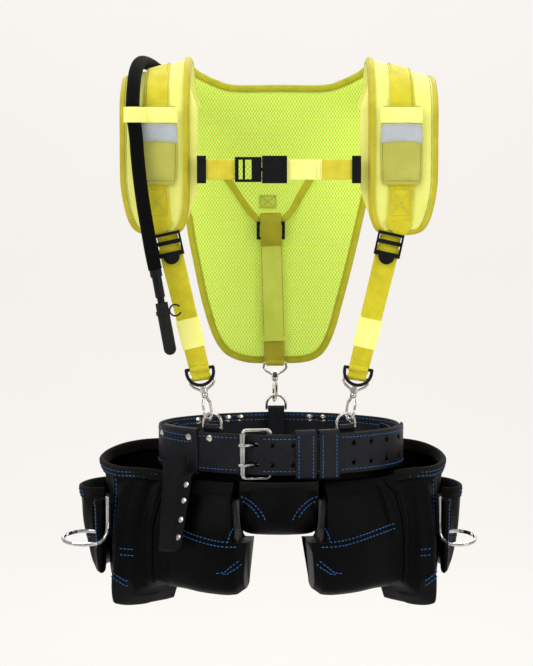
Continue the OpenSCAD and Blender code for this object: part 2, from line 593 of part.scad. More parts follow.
// Lower strap: from the ladder lock down to the loop that holds the hook frame and the D-ring
strap_y = -86.5;
hook_pin = [-97.5, frame_bar_y, frame_bar_z];
flip_bar = [-99.8, strap_y, 106];
flip_bore = 2.4;
module lower_strap() {
  top = lock_at + strap_dir * 4 + [0, 2.6, 0];
  foot = [hook_pin.x - 1.4, strap_y + 1.5, 101];
  color("#d9d02c") difference() {
    union() {
      loft([for (k = [0, 0.35, 0.7, 1]) strap_ring(lerp(top, foot, k), strap_across, [0, -1, 0],
        lerp(webbing_w - 1, chest_w, k), 2.6)]);
      translate(hook_pin) rotate([0, -hook_lean, 0]) translate([-11.5, 0, 0]) rotate([0, 90, 0])
        cylinder(r = bar_bore + 1.7, h = 23);
      translate(flip_bar) rotate([0, -strap_angle + 4, 0]) translate([-12, 0, 0]) rotate([0, 90, 0])
        cylinder(r = flip_bore + 1.4, h = 24);
      loft([for (z = [93, 104]) let (x = z == 93 ? hook_pin.x : flip_bar.x)
        [[x - 11.5, -84.5, z], [x + 11.5, -84.5, z], [x + 11.5, -82.6, z], [x - 11.5, -82.6, z]]]);
    }
    translate(hook_pin) rotate([0, -hook_lean, 0]) translate([-20, 0, 0]) rotate([0, 90, 0])
      cylinder(r = bar_bore, h = 40);
    translate(flip_bar) rotate([0, -strap_angle + 4, 0]) translate([-20, 0, 0]) rotate([0, 90, 0])
      cylinder(r = flip_bore, h = 40);
  }
}
module lower_strap_left() { lower_strap(); }
module lower_strap_right() { on_side(true) lower_strap(); }
module strap_dring() {
  r = 2.1;
  w = 17;
  color("#1a1a1c") translate(flip_bar) rotate([0, -strap_angle + 4, 0]) {
    wire_bar([-w, 0, 0], [w, 0, 0], r);
    translate([-w, 0, 0]) sphere(r = r, $fn = 20);
    for (x = [-w, w]) wire_bar([x, 0, 0], [x, 0, -4], r, false);
    translate([0, 0, -4]) wire_arc(w, 180, 180, r);
  }
}
module strap_dring_left() { strap_dring(); }
module strap_dring_right() { on_side(true) strap_dring(); }

// ---- snap hooks: frame, swivelling hook and sprung gate, each around the frame's bar
hook_lean = 10;
hook_turn = 54;
rear_turn = 75;
collar_z = -16.5;
module lean(right) {
  on_side(right) translate(hook_pin) rotate([0, -hook_lean, 0]) children();
}
module frame_shape() {
  r = ring_wire / 2;
  color("silver") difference() {
    union() {
      translate([-14.5, 0, 0]) rotate([0, 90, 0]) cylinder(r = r, h = 29);
      for (e = [-1, 1]) {
        translate([e * 14.5, 0, 0]) sphere(r = r + 0.12, $fn = 32);
        loft(tube([[e * 14.5, 0, 0.2], [e * 15.5, 0, -6.5], [e * 12, 0, -11], [e * 3.6, 0, -16.2]],
          r - 0.1, 12));
      }
      translate([0, 0, -19]) cylinder(r = 5, h = 5.6);
    }
    translate([0, 0, -20]) cylinder(r = 2.4, h = 12);
  }
}
module hook_shape() {
  r = ring_wire / 2;
  bow = -46;
  color("silver") {
    translate([0, 0, -23]) cylinder(r = 2.1, h = 10.2);
    translate([0, 0, -13]) cylinder(r = 3.4, h = 1.8);
    difference() {
      translate([0, 0, -22.6]) sphere(r = 4.4, $fn = 32);
      translate([-6, -6, -19.3]) cube([12, 12, 6]);
    }
    wire([[1.5, 0, -24], [hook_r, 0, -33], [hook_r, 0, bow]], r);
    translate([0, 0, bow]) wire_arc(hook_r, 180, 180, r);
    wire_bar([-hook_r, 0, bow], [-hook_r, 0, bow + 2], r);
  }
}
module gate_shape() {
  color("gainsboro") loft(tube([[-4.2, 0, -27.4], [-5.6, 0, -30], [-hook_r, 0, -34], [-hook_r, 0, -40.6]],
    ring_wire / 2 - 0.2, 12));
}
module hook_frame_left() { lean(false) frame_shape(); }
module hook_frame_right() { lean(true) frame_shape(); }
module lean_rear() { translate(rear_hook) rotate([rear_lean, 0, 0]) children(); }
module hook_frame_rear() { lean_rear() frame_shape(); }
module snap_hook_left() { lean(false) rotate([0, 0, hook_turn]) hook_shape(); }
module snap_hook_right() { lean(true) rotate([0, 0, hook_turn]) hook_shape(); }
module snap_hook_rear() { lean_rear() rotate([0, 0, rear_turn]) hook_shape(); }
module hook_gate_left() { lean(false) rotate([0, 0, hook_turn]) gate_shape(); }
module hook_gate_right() { lean(true) rotate([0, 0, hook_turn]) gate_shape(); }
module hook_gate_rear() { lean_rear() rotate([0, 0, rear_turn]) gate_shape(); }

// ---- chest strap --------------------------------------------------------
chest_y = -97;
slider_x = 96;
socket_x = [-14, 10];
module chest_strip(x0, x1) {
  translate([x0, chest_y, chest_z - chest_w / 2]) cube([x1 - x0, webbing_t, chest_w]);
}
module chest_webbing() {
  color("#d8cf2a") {
    chest_strip(-slider_x + 6, -55);
    chest_strip(10.5, slider_x - 6);
  }
}
module chest_slider() {
  translate([-slider_x, chest_y + 0.9, chest_z]) difference() {
    translate([-5.6, -3, -17]) cube([11.2, 8, 34]);
    translate([-3.2, 1.6, -18]) cube([6.4, 1.8, 36]);
  }
}
module chest_sliders() {
  color("#19191b") {
    chest_slider();
    on_side(true) chest_slider();
  }
}
// Side-release buckle: the socket is a hollow shell, the plug has a ladder end and two prongs
module chest_buckle_socket() {
  color("#17171a") translate([0, chest_y + 0.9, chest_z]) difference() {
    translate([-21, -6, -17]) cube([31, 12, 34]);
    translate([-22, -3.6, -14.4]) cube([25, 7.2, 28.8]);
    for (e = [-1, 1]) translate([-13, -3.6, e * 15.5 - 3]) cube([12, 7.2, 6]);
  }
}
module chest_buckle_plug() {
  color("#1c1c1f") translate([0, chest_y + 0.9, chest_z]) {
    difference() {
      translate([-54.6, -4, -15.5]) cube([33, 8, 31]);
      translate([-50, -5, -12]) cube([5, 10, 24]);
      translate([-42, -5, -12]) cube([8, 10, 24]);
    }
    translate([-22, -3, -2.5]) cube([21, 6, 5]);
  }
}
// One flexible prong of the plug, with the button that shows in the socket's side
module release_tab(e) {
  color("#202023") translate([0, chest_y + 0.9, chest_z]) {
    translate([-21.3, -3, e > 0 ? 9 : -12]) cube([12, 6, 3]);
    translate([-11.6, -3, e > 0 ? 9 : -15.8]) cube([9.4, 6, 6.8]);
  }
}
module release_tab_upper() { release_tab(1); }
module release_tab_lower() { release_tab(-1); }

// ---- drinking hose ------------------------------------------------------
// Route of the hose, from the top of the reservoir over the left shoulder to the connector
port_at = [-66, 119, 396];
hose_route = [[-66, 119, 396], [-66, 119, 411], [-69, 119, 426], [-77, 119, 440], [-89, 119, 452],
  [-103, 119, 462], [-118, 119, 470], [-132, 115, 476], [-144, 103, 479.5], [-153, 86, 481.5],
  [-161, 64, 486], [-167.5, 40, 490.5], [-172.5, 15, 492], [-176, -10, 491], [-178.5, -33, 486],
  [-180, -57, 475.5], [-180.5, -79, 460], [-180.5, -95.5, 442], [-180, -104.5, 429],
  [-178.5, -108, 415], [-176, -109, 397], [-174, -109.5, 370], [-171, -110, 340], [-167, -110.5, 310],
  [-162, -111, 280], [-157.5, -112, 254], [-153, -112, 232]];
module drinking_hose() { color("#19191b") loft(tube(hose_route, hose_d / 2, 12, [1, 0, 0])); }
valve_top = hose_route[len(hose_route) - 1];
valve_dir = unit([18, 0, -100]);
module along_valve(k) {
  translate(valve_top + valve_dir * k) rotate([0, 180 - acos(-valve_dir.z), 0]) children();
}
module bite_valve() {
  color("#242426") along_valve(0) {
    translate([0, 0, 0.2]) cylinder(d = 15, h = 9);
    translate([0, 0, 9.2]) cylinder(d = 12, h = 26);
    translate([0, 0, 35.2]) cylinder(d = 9, h = 50);
  }
}
module bite_cover() {
  color("#121214") along_valve(0) {
    difference() {
      union() {
        translate([0, 0, 42]) cylinder(d = 15.5, h = 58);
        translate([0, 0, 100]) sphere(d = 15.5, $fn = 32);
        translate([0, 0, 52]) cylinder(d = 18, h = 5);
      }
      translate([0, 0, 41]) cylinder(d = 10, h = 48);
    }
    translate([-15.2, 0, 54]) rotate([90, 0, 0]) rotate([0, 0, 210]) rotate_extrude(angle = 300, $fn = 40)
      translate([7, 0]) circle(r = 1.1, $fn = 14);
  }
}

back_belt();
tongue_strap();
buckle_frame();
buckle_roller();
prong_upper();
prong_lower();
keeper_inner();
keeper_outer();
rivets();
dring_tabs();
belt_dring_left();
belt_dring_right();
belt_dring_rear();
main_bag_left();
main_bag_right();
side_pouch_left();
side_pouch_right();
centre_pouch();
tool_sheath();
sheath_hanger();
hammer_loop_left();
hammer_loop_right();
hammer_brackets();
pencil_sleeves();
back_panel();
reservoir_sleeve();
reservoir();
rear_strap();
strap_cover();
rear_triglide();
shoulder_pad_left();
shoulder_pad_right();
pad_webbing_left();
pad_webbing_right();
pad_pocket_left();
pad_pocket_right();
ladder_lock_left();
ladder_lock_right();
lower_strap_left();
lower_strap_right();
strap_dring_left();
strap_dring_right();
hook_frame_left();
hook_frame_right();
hook_frame_rear();
snap_hook_left();
snap_hook_right();
snap_hook_rear();
hook_gate_left();
hook_gate_right();
hook_gate_rear();
chest_webbing();
chest_sliders();
chest_buckle_socket();
chest_buckle_plug();
release_tab_upper();
release_tab_lower();
drinking_hose();
bite_valve();
bite_cover();
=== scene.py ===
"""Looks of the tool belt: leather belt and pouches on a hi-vis suspender harness with a drinking hose.
Lengths are in millimetres until a mesh is made, in the frame of the CAD part."""
import math

import bmesh
import bpy
import numpy as np
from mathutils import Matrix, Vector


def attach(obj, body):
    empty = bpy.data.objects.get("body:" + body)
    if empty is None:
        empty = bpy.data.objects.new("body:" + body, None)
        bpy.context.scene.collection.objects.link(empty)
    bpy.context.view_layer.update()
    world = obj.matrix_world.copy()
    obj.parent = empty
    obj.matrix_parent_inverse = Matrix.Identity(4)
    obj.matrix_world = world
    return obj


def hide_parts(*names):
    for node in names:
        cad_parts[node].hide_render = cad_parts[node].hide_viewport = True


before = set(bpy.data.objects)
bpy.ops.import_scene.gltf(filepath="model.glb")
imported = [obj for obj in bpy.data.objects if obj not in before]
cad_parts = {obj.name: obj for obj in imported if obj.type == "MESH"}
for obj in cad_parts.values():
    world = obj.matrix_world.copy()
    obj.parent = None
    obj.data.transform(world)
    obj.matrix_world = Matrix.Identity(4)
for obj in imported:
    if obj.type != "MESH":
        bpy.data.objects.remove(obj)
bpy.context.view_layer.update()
MM = 0.001
ROOT = "root"

# ---------------------------------------------------------------- shared sizes, as in the CAD part
HALF_W, HALF_D, SIDE_R = 153.0, 105.0, 75.0
SIDE_CX, NARROW = HALF_W - SIDE_R, HALF_D - SIDE_R
BIG_K = (SIDE_CX ** 2 - NARROW ** 2) / (2 * NARROW)
BIG_R = BIG_K + HALF_D
JOIN = math.degrees(math.atan2(BIG_K, SIDE_CX))
BELT_HALF_H, BELT_T, HOLE_PITCH, ROW_HALF = 25.5, 4.0, 25.4, 12.5
BACKING = (-9.6, -7.0)
PANEL_Y, PANEL_T = 96.0, 11.0
ARCH_Z, ARCH_TOP, ARCH_FRONT, ARCH_BACK = 418.0, 78.0, -86.0, 94.0
PAD_X, PAD_T, WEB_W, WEB_T = 155.0, 12.0, 30.0, 1.8
CHEST_Y, CHEST_Z, CHEST_W = -97.0, 355.0, 25.0
LOCK_AT = np.array([-137.0, -90.0, 262.0])
HOOK_PIN = np.array([-97.5, -80.5, 94.0])
FLIP_BAR = np.array([-99.8, -86.5, 106.0])
REAR_TOP = np.array([-12.0, PANEL_Y - 2.5, 318.0])
REAR_FOOT = np.array([-5.8, PANEL_Y - 3.5, 93.0])
REAR_HOOK = np.array([-5.5, 91.4, 94.0])
STRAP_ANGLE = math.radians(12.2)
STRAP_DIR = np.array([math.sin(STRAP_ANGLE), 0, -math.cos(STRAP_ANGLE)])
STRAP_ACROSS = np.array([math.cos(STRAP_ANGLE), 0, math.sin(STRAP_ANGLE)])


def wrap(t):
    return t - 360 * math.floor((t + 180) / 360)


def oval(t, d):
    """Point on the waist oval whose outward normal has angle t, moved out by d."""
    a = wrap(t)
    if abs(a) <= JOIN:
        cx, cy, r = SIDE_CX, 0, SIDE_R
    elif abs(a) >= 180 - JOIN:
        cx, cy, r = -SIDE_CX, 0, SIDE_R
    elif a > 0:
        cx, cy, r = 0, -BIG_K, BIG_R
    else:
        cx, cy, r = 0, BIG_K, BIG_R
    return cx + (r + d) * math.cos(math.radians(t)), cy + (r + d) * math.sin(math.radians(t))


def at(t, d, z):
    x, y = oval(t, d)
    return np.array([x, y, z])


def out(t):
    return np.array([math.cos(math.radians(t)), math.sin(math.radians(t)), 0.0])


def front_angle(x):
    return -90 + math.degrees(math.asin(x / BIG_R))


def tongue_angle(s):
    front = math.radians(90 - JOIN) * BIG_R
    return -90 + math.degrees(s / BIG_R) if s <= front else -JOIN + math.degrees((s - front) / SIDE_R)


def smooth(k):
    c = min(1.0, max(0.0, k))
    return c * c * (3 - 2 * c)


SQUEEZE_X, SQUEEZE = 150.0, 0.8


def hip(v, flip):
    """Left-hip points as they are, or mirrored to the right hip, which hangs closer to the body."""
    v = np.array(v, float)
    if flip > 0:
        return v
    x = -v[..., 0]
    v[..., 0] = np.where(x > SQUEEZE_X, SQUEEZE_X + (x - SQUEEZE_X) * SQUEEZE, x)
    return v


def unit(v):
    v = np.asarray(v, float)
    return v / max(np.linalg.norm(v), 1e-9)


def table_at(xs, ys, x):
    """Value at x of a smooth curve through the table, which doesn't overshoot."""
    xs, ys = np.asarray(xs, float), np.asarray(ys, float)
    if xs[0] > xs[-1]:
        xs, ys = xs[::-1], ys[::-1]
    h = np.diff(xs)
    slope = np.diff(ys) / h
    m = np.zeros(len(xs))
    m[0], m[-1] = slope[0], slope[-1]
    for i in range(1, len(xs) - 1):
        if slope[i - 1] * slope[i] > 0:
            m[i] = 2 * slope[i - 1] * slope[i] / (slope[i - 1] + slope[i])
    i = int(np.clip(np.searchsorted(xs, x) - 1, 0, len(xs) - 2))
    u = np.clip((x - xs[i]) / h[i], 0, 1)
    return ((2 * u ** 3 - 3 * u * u + 1) * ys[i] + (u ** 3 - 2 * u * u + u) * h[i] * m[i]
            + (3 * u * u - 2 * u ** 3) * ys[i + 1] + (u ** 3 - u * u) * h[i] * m[i + 1])


def catmull(a, b, c, d, u):
    """Point at u between b and c on a smooth curve through a, b, c and d."""
    return 0.5 * (2 * b + (c - a) * u + (2 * a - 5 * b + 4 * c - d) * u * u
                  + (3 * b - a - 3 * c + d) * u ** 3)


def spline(points, step):
    """Dense points about step apart on a smooth curve through the given points."""
    p = np.asarray(points, float)
    if len(p) < 3:
        n = max(1, int(math.ceil(np.linalg.norm(p[-1] - p[0]) / step)))
        return np.array([p[0] + (p[-1] - p[0]) * k / n for k in range(n + 1)])
    ext = np.vstack([2 * p[0] - p[1], p, 2 * p[-1] - p[-2]])
    made = []
    for i in range(1, len(ext) - 2):
        a, b, c, d = ext[i - 1], ext[i], ext[i + 1], ext[i + 2]
        n = max(1, int(round(np.linalg.norm(c - b) / step)))
        made += [catmull(a, b, c, d, k / n) for k in range(n)]
    made.append(p[-1])
    return np.array(made)


def wave(x, y, z, scale, seed=0.0):
    """Smooth repeatable unevenness from -1 to 1, built from sines."""
    x, y, z = x / scale + seed, y / scale + 1.7 * seed, z / scale - 0.6 * seed
    return (math.sin(x + 1.3 * math.sin(y * 0.9 + 0.4)) + math.sin(1.9 * y + 0.8 * math.sin(1.4 * z))
            + math.sin(1.6 * z + 1.1 * math.sin(1.2 * x)) + 0.6 * math.sin(3.1 * x - 2.3 * z)) / 3.6


# ---------------------------------------------------------------- camera first; the hose is the first piece built, after the materials
cam_data = bpy.data.cameras.new("view")
cam_data.lens, cam_data.sensor_width, cam_data.shift_x = 100.2, 36.0, -0.0188
cam = bpy.data.objects.new("view", cam_data)
bpy.context.scene.collection.objects.link(cam)
CAM_EL, CAM_DIST = math.radians(5.2), 2.41
cam_back = Vector((0, -math.cos(CAM_EL), math.sin(CAM_EL)))
cam.location = Vector((0, 0, 0.143)) + cam_back * CAM_DIST
cam.rotation_mode = "QUATERNION"
cam.rotation_quaternion = (-cam_back).to_track_quat("-Z", "Y")
bpy.context.scene.camera = cam


# ---------------------------------------------------------------- materials
class Nodes:
    """Short way to wire a node tree."""

    def __init__(self, name, rough=0.5, **sockets):
        self.mat = bpy.data.materials.new(name)
        self.mat.use_nodes = True
        self.tree = self.mat.node_tree
        self.bsdf = self.tree.nodes["Principled BSDF"]
        self.bsdf.inputs["Roughness"].default_value = rough
        for key, value in sockets.items():
            self.bsdf.inputs[key.replace("_", " ")].default_value = value
        self.coord = self.add("ShaderNodeTexCoord").outputs["Object"]

    def add(self, kind, **settings):
        node = self.tree.nodes.new(kind)
        for key, value in settings.items():
            setattr(node, key, value)
        return node

    def put(self, node, index, value):
        socket = node.inputs[index]
        if isinstance(value, bpy.types.NodeSocket):
            self.tree.links.new(value, socket)
        else:
            socket.default_value = value
        return node

    def noise(self, scale, detail):
        node = self.add("ShaderNodeTexNoise")
        self.put(node, "Vector", self.coord)
        self.put(node, "Scale", scale)
        self.put(node, "Detail", detail)
        return node.outputs["Fac"]

    def cells(self, scale):
        node = self.add("ShaderNodeTexVoronoi", feature="DISTANCE_TO_EDGE")
        self.put(node, "Vector", self.coord)
        self.put(node, "Scale", scale)
        return node.outputs["Distance"]

    def math(self, op, a, b=0.0, clamp=False):
        node = self.add("ShaderNodeMath", operation=op)
        node.use_clamp = clamp
        self.put(node, 0, a)
        self.put(node, 1, b)
        return node.outputs[0]

    def plus(self, a, b):
        return self.math("ADD", a, b)

    def times(self, a, b, clamp=False):
        return self.math("MULTIPLY", a, b, clamp)

    def blend(self, a, b, share):
        """The given share of a, and the rest of b."""
        return self.plus(self.times(a, share), self.times(b, 1 - share))

    def ripple(self, place, pitch):
        """Sine along a place in metres, one wave per pitch."""
        return self.math("SINE", self.times(place, 2 * math.pi / pitch))

    def ramp(self, fac, stops):
        node = self.add("ShaderNodeValToRGB")
        self.put(node, "Fac", fac)
        while len(node.color_ramp.elements) < len(stops):
            node.color_ramp.elements.new(0.5)
        for e, (pos, col) in zip(node.color_ramp.elements, stops):
            e.position = pos
            e.color = (*col, 1) if hasattr(col, "__len__") else (col, col, col, 1)
        return node.outputs["Color"]

    def mix(self, fac, a, b):
        node = self.add("ShaderNodeMix", data_type="RGBA")
        for index, value in ((0, fac), (6, a), (7, b)):
            if not isinstance(value, bpy.types.NodeSocket) and hasattr(value, "__len__"):
                value = (*value, 1) if len(value) == 3 else value
            self.put(node, index, value)
        return node.outputs[2]

    def st(self):
        """Along, across and depth of a strap, in metres, as three sockets."""
        node = self.add("ShaderNodeAttribute")
        node.attribute_name = "st"
        part = self.add("ShaderNodeSeparateXYZ")
        self.put(part, 0, node.outputs["Vector"])
        return part.outputs

    def axes(self):
        part = self.add("ShaderNodeSeparateXYZ")
        self.put(part, 0, self.coord)
        return part.outputs

    def color(self, socket, painted_glow=0.0):
        """Base colour; the last argument is painted light: an emission that stands in for the fluorescent
        dye's brightness and is the same under any lamp.
        """
        self.tree.links.new(socket, self.bsdf.inputs["Base Color"])
        if painted_glow:
            self.tree.links.new(socket, self.bsdf.inputs["Emission Color"])
            self.bsdf.inputs["Emission Strength"].default_value = painted_glow

    def rough(self, socket):
        self.tree.links.new(socket, self.bsdf.inputs["Roughness"])

    def bump(self, heights):
        """Heights are (socket, strength, distance in metres), one on top of the other."""
        last = None
        for socket, strength, distance in heights:
            node = self.add("ShaderNodeBump")
            self.put(node, "Height", socket)
            self.put(node, "Strength", strength)
            self.put(node, "Distance", distance)
            if last is not None:
                self.tree.links.new(last, node.inputs["Normal"])
            last = node.outputs["Normal"]
        self.tree.links.new(last, self.bsdf.inputs["Normal"])


def leather(name, dark, light, rough=(0.36, 0.56), grain=850.0, grain_depth=0.0002, spec=0.32, sheen=0.0):
    """Full-grain leather: pebbled grain, pores, pull-up marks and rubbed patches."""
    n = Nodes(name, 0.45, Specular_IOR_Level=spec, Sheen_Weight=sheen, Sheen_Roughness=0.5)
    patch, fine = n.noise(22, 4), n.noise(310, 2)
    cell, pore = n.cells(grain), n.noise(2600, 1)
    base = n.ramp(n.blend(patch, fine, 0.75), [(0.36, dark), (0.66, light)])
    # Darker along the grain's grooves, where the bump is low: painted shade in the grooves.
    n.color(n.mix(n.times(n.ramp(cell, [(0.0, 1.0), (0.12, 0.0)]), 0.5), base, tuple(c * 0.45 for c in dark)))
    n.rough(n.ramp(n.blend(patch, pore, 0.7), [(0.35, rough[0]), (0.68, rough[1])]))
    n.bump([(n.ramp(cell, [(0.0, 0.0), (0.22, 1.0)]), 0.55, grain_depth), (pore, 0.25, 0.0001),
            (n.noise(95, 4), 0.35, 0.0008)])
    return n.mat


SELVEDGE = 0.0016


def webbing(name, dark, light, rib=0.0016, half=0.015, rough=0.62, painted_glow=0.0):
    """Woven strap: ribs across it, warp cords along it, and a tight selvedge at each edge."""
    n = Nodes(name, rough, Sheen_Weight=0.25, Sheen_Roughness=0.4, Specular_IOR_Level=0.3)
    s, a, _ = n.st()
    ribs, cords = n.ripple(s, rib), n.ripple(a, rib * 0.8)
    weave = n.times(ribs, cords)
    outer = n.math("SUBTRACT", n.math("ABSOLUTE", a), half - SELVEDGE)
    mask = n.math("SUBTRACT", 1.0, n.times(outer, 1 / SELVEDGE, clamp=True))
    # Colour follows the weave's bump: darker where ribs and cords are low, painted shade between the threads,
    # plus noise for uneven tone.
    tone = n.plus(n.times(weave, 0.22), n.plus(n.times(ribs, 0.12), n.noise(60, 3)))
    n.color(n.ramp(tone, [(0.2, dark), (0.8, light)]), painted_glow)
    n.bump([(n.plus(ribs, n.times(weave, 0.8)), 0.5, 0.00022), (mask, 0.5, 0.0004),
            (n.noise(900, 2), 0.2, 0.0001)])
    return n.mat


def cloth(name, dark, light, thread=0.0009, rough=0.75, sheen=0.35, spec=0.25, painted_glow=0.0):
    """Plain woven nylon from two crossed sets of threads in the object's own axes."""
    n = Nodes(name, rough, Sheen_Weight=sheen, Sheen_Roughness=0.45, Specular_IOR_Level=spec)
    x, y, z = n.axes()
    warp = n.ripple(n.plus(x, n.times(y, 0.35)), thread)
    weft = n.ripple(n.plus(z, n.times(y, 0.6)), thread)
    weave = n.times(warp, weft)
    # Colour follows the weave's bump: darker where the threads cross low, painted shade between the threads,
    # plus noise for uneven tone.
    tone = n.plus(n.times(weave, 0.18), n.blend(n.noise(30, 3), n.noise(700, 2), 0.7))
    n.color(n.ramp(tone, [(0.3, dark), (0.7, light)]), painted_glow)
    n.bump([(weave, 0.4, 0.00012), (n.noise(120, 3), 0.25, 0.0006)])
    return n.mat


def metal(name, dark, light, rough=(0.18, 0.32)):
    """Plated metal with a cloudy shine and fine scratches."""
    n = Nodes(name, 0.25, Metallic=1.0)
    cloud, fine = n.noise(70, 4), n.noise(1500, 2)
    n.color(n.ramp(n.blend(cloud, fine, 0.88), [(0.3, dark), (0.7, light)]))
    n.rough(n.ramp(cloud, [(0.35, rough[0]), (0.7, rough[1])]))
    n.bump([(fine, 0.15, 0.00003), (n.noise(60, 2), 0.2, 0.0002)])
    return n.mat


def plastic(name, color, rough=(0.3, 0.5)):
    """Moulded plastic or rubber with a fine spark-eroded texture."""
    n = Nodes(name, 0.4, Specular_IOR_Level=0.16)
    cloud, fine = n.noise(90, 3), n.noise(2300, 1)
    n.color(n.ramp(cloud, [(0.3, tuple(c * 0.8 for c in color)), (0.7, tuple(c * 1.25 for c in color))]))
    n.rough(n.ramp(n.blend(cloud, fine, 0.5), [(0.35, rough[0]), (0.65, rough[1])]))
    n.bump([(fine, 0.3, 0.00008)])
    return n.mat


def spacer_mesh(name, deep, thread, pitch):
    """Air mesh: raised threads round rows of small hollows, laid in a diamond pattern."""
    n = Nodes(name, 0.72, Sheen_Weight=0.3, Sheen_Roughness=0.4, Specular_IOR_Level=0.25)
    x, y, z = n.axes()
    k = 2 * math.pi / pitch
    a = n.math("COSINE", n.times(n.plus(x, y), k))
    b = n.math("COSINE", n.times(z, k * 0.62))
    net = n.plus(n.times(a, b), n.times(n.noise(900, 2), 0.35))
    # The hollows take the darker deep colour: painted shade in the hollows.
    hole = n.ramp(net, [(0.12, 0.0), (0.55, 1.0)])
    shade = n.noise(14, 3)
    # Emission 0.16 on the mesh is painted light, the same under any lamp.
    n.color(n.mix(hole, n.mix(shade, tuple(c * 0.92 for c in thread), thread), deep), 0.16)
    n.bump([(n.math("SUBTRACT", 1.0, hole), 0.9, 0.0007), (n.noise(2100, 2), 0.2, 0.0001)])
    return n.mat


BRAID_PITCH = 0.0024


def braid(name, dark, light):
    """Braided sleeve round a tube: two crossed spirals of flat threads."""
    n = Nodes(name, 0.78, Specular_IOR_Level=0.07)
    s, a, _ = n.st()
    one = n.ripple(n.plus(s, a), BRAID_PITCH)
    two = n.ripple(n.math("SUBTRACT", s, a), BRAID_PITCH)
    weave = n.math("MAXIMUM", one, two)
    # Colour follows the weave's bump: darker in the gaps between the spirals, painted shade, plus noise for
    # uneven tone.
    n.color(n.ramp(n.blend(weave, n.noise(240, 2), 0.4), [(0.15, dark), (0.8, light)]))
    n.bump([(weave, 0.6, 0.0003), (n.noise(1500, 2), 0.2, 0.0001)])
    return n.mat


GOLD_D, GOLD_L = (0.62, 0.53, 0.008), (0.86, 0.76, 0.022)
M = {
    "belt": leather("belt_leather", (0.0085, 0.0088, 0.0115), (0.0165, 0.0172, 0.0215), (0.34, 0.5),
                    spec=0.14),
    "bag": leather("bag_leather", (0.0008, 0.0008, 0.0010), (0.0022, 0.0022, 0.0027), (0.30, 0.46), 620,
                   0.00025, 0.06),
    "matte": leather("sheath_leather", (0.0055, 0.0057, 0.0060), (0.0095, 0.0098, 0.0106), (0.62, 0.78), 700,
                     0.00015, 0.07),
    "suede": leather("suede_binding", (0.0045, 0.0042, 0.0030), (0.012, 0.0112, 0.0085), (0.85, 0.97), 1500,
                     0.0003, 0.05, 0.06),
    "edge": leather("cut_edge", (0.012, 0.011, 0.008), (0.034, 0.031, 0.024), (0.7, 0.85), 1800, 0.0003,
                    0.08),
    "gold": webbing("golden_webbing", GOLD_D, GOLD_L),
    "gold25": webbing("golden_webbing_25", (0.68, 0.57, 0.022), (0.92, 0.80, 0.055), half=0.0125),
    "olive": webbing("olive_webbing", (0.36, 0.33, 0.008), (0.50, 0.46, 0.02), half=0.014),
    # The fluorescent elastic here and the pad fabric below carry emission: painted light that brightens them
    # the same under any lamp.
    "elastic": webbing("fluorescent_elastic", (0.90, 0.88, 0.20), (0.97, 0.96, 0.30), rib=0.0011, half=0.0125,
                       rough=0.7, painted_glow=0.24),
    "binding": webbing("golden_binding", (0.52, 0.44, 0.012), (0.70, 0.61, 0.03), rib=0.0013, half=0.006),
    "lime_binding": webbing("panel_binding", (0.42, 0.42, 0.008), (0.60, 0.58, 0.02), rib=0.0013, half=0.006),
    "pad": cloth("pad_fabric", (0.82, 0.84, 0.16), (0.95, 0.96, 0.26), painted_glow=0.06),
    "pocket": cloth("pocket_fabric", (0.50, 0.49, 0.075), (0.64, 0.62, 0.12), thread=0.0011),
    "cover": cloth("lime_cover", (0.58, 0.68, 0.07), (0.74, 0.82, 0.13)),
    "sleeve": cloth("reservoir_fabric", (0.40, 0.56, 0.035), (0.56, 0.72, 0.07), thread=0.0012),
    "mesh": spacer_mesh("spacer_mesh", (0.44, 0.76, 0.010), (0.84, 0.97, 0.20), 0.0040),
    "nickel": metal("nickel", (0.50, 0.47, 0.42), (0.80, 0.77, 0.70)),
    "chrome": metal("bright_wire", (0.42, 0.42, 0.41), (0.72, 0.72, 0.71), (0.14, 0.3)),
    "plastic": plastic("black_acetal", (0.006, 0.006, 0.0065)),
    "rubber": plastic("valve_rubber", (0.012, 0.012, 0.0125), (0.55, 0.75)),
    "hose": braid("hose_sleeve", (0.0010, 0.0010, 0.0011), (0.0042, 0.0042, 0.0042)),
    "thread": cloth("blue_thread", (0.012, 0.085, 0.26), (0.03, 0.19, 0.45), thread=0.0005, sheen=0.1),
    "pale_thread": cloth("yellow_thread", (0.45, 0.50, 0.08), (0.66, 0.70, 0.2), thread=0.0005, sheen=0.1),
    "dark_thread": cloth("olive_thread", (0.16, 0.15, 0.02), (0.30, 0.28, 0.04), thread=0.0005, sheen=0.1),
    "reflective": cloth("reflective_strip", (0.44, 0.49, 0.52), (0.60, 0.65, 0.68), thread=0.0008, rough=0.38,
                        sheen=0.0, spec=0.8),
    "film": plastic("bladder_film", (0.30, 0.42, 0.46), (0.2, 0.35)),
}


# ---------------------------------------------------------------- mesh helpers
def finish_mesh(obj, body=ROOT, replaces=()):
    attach(obj, body)
    if replaces:
        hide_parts(*replaces)
    return obj


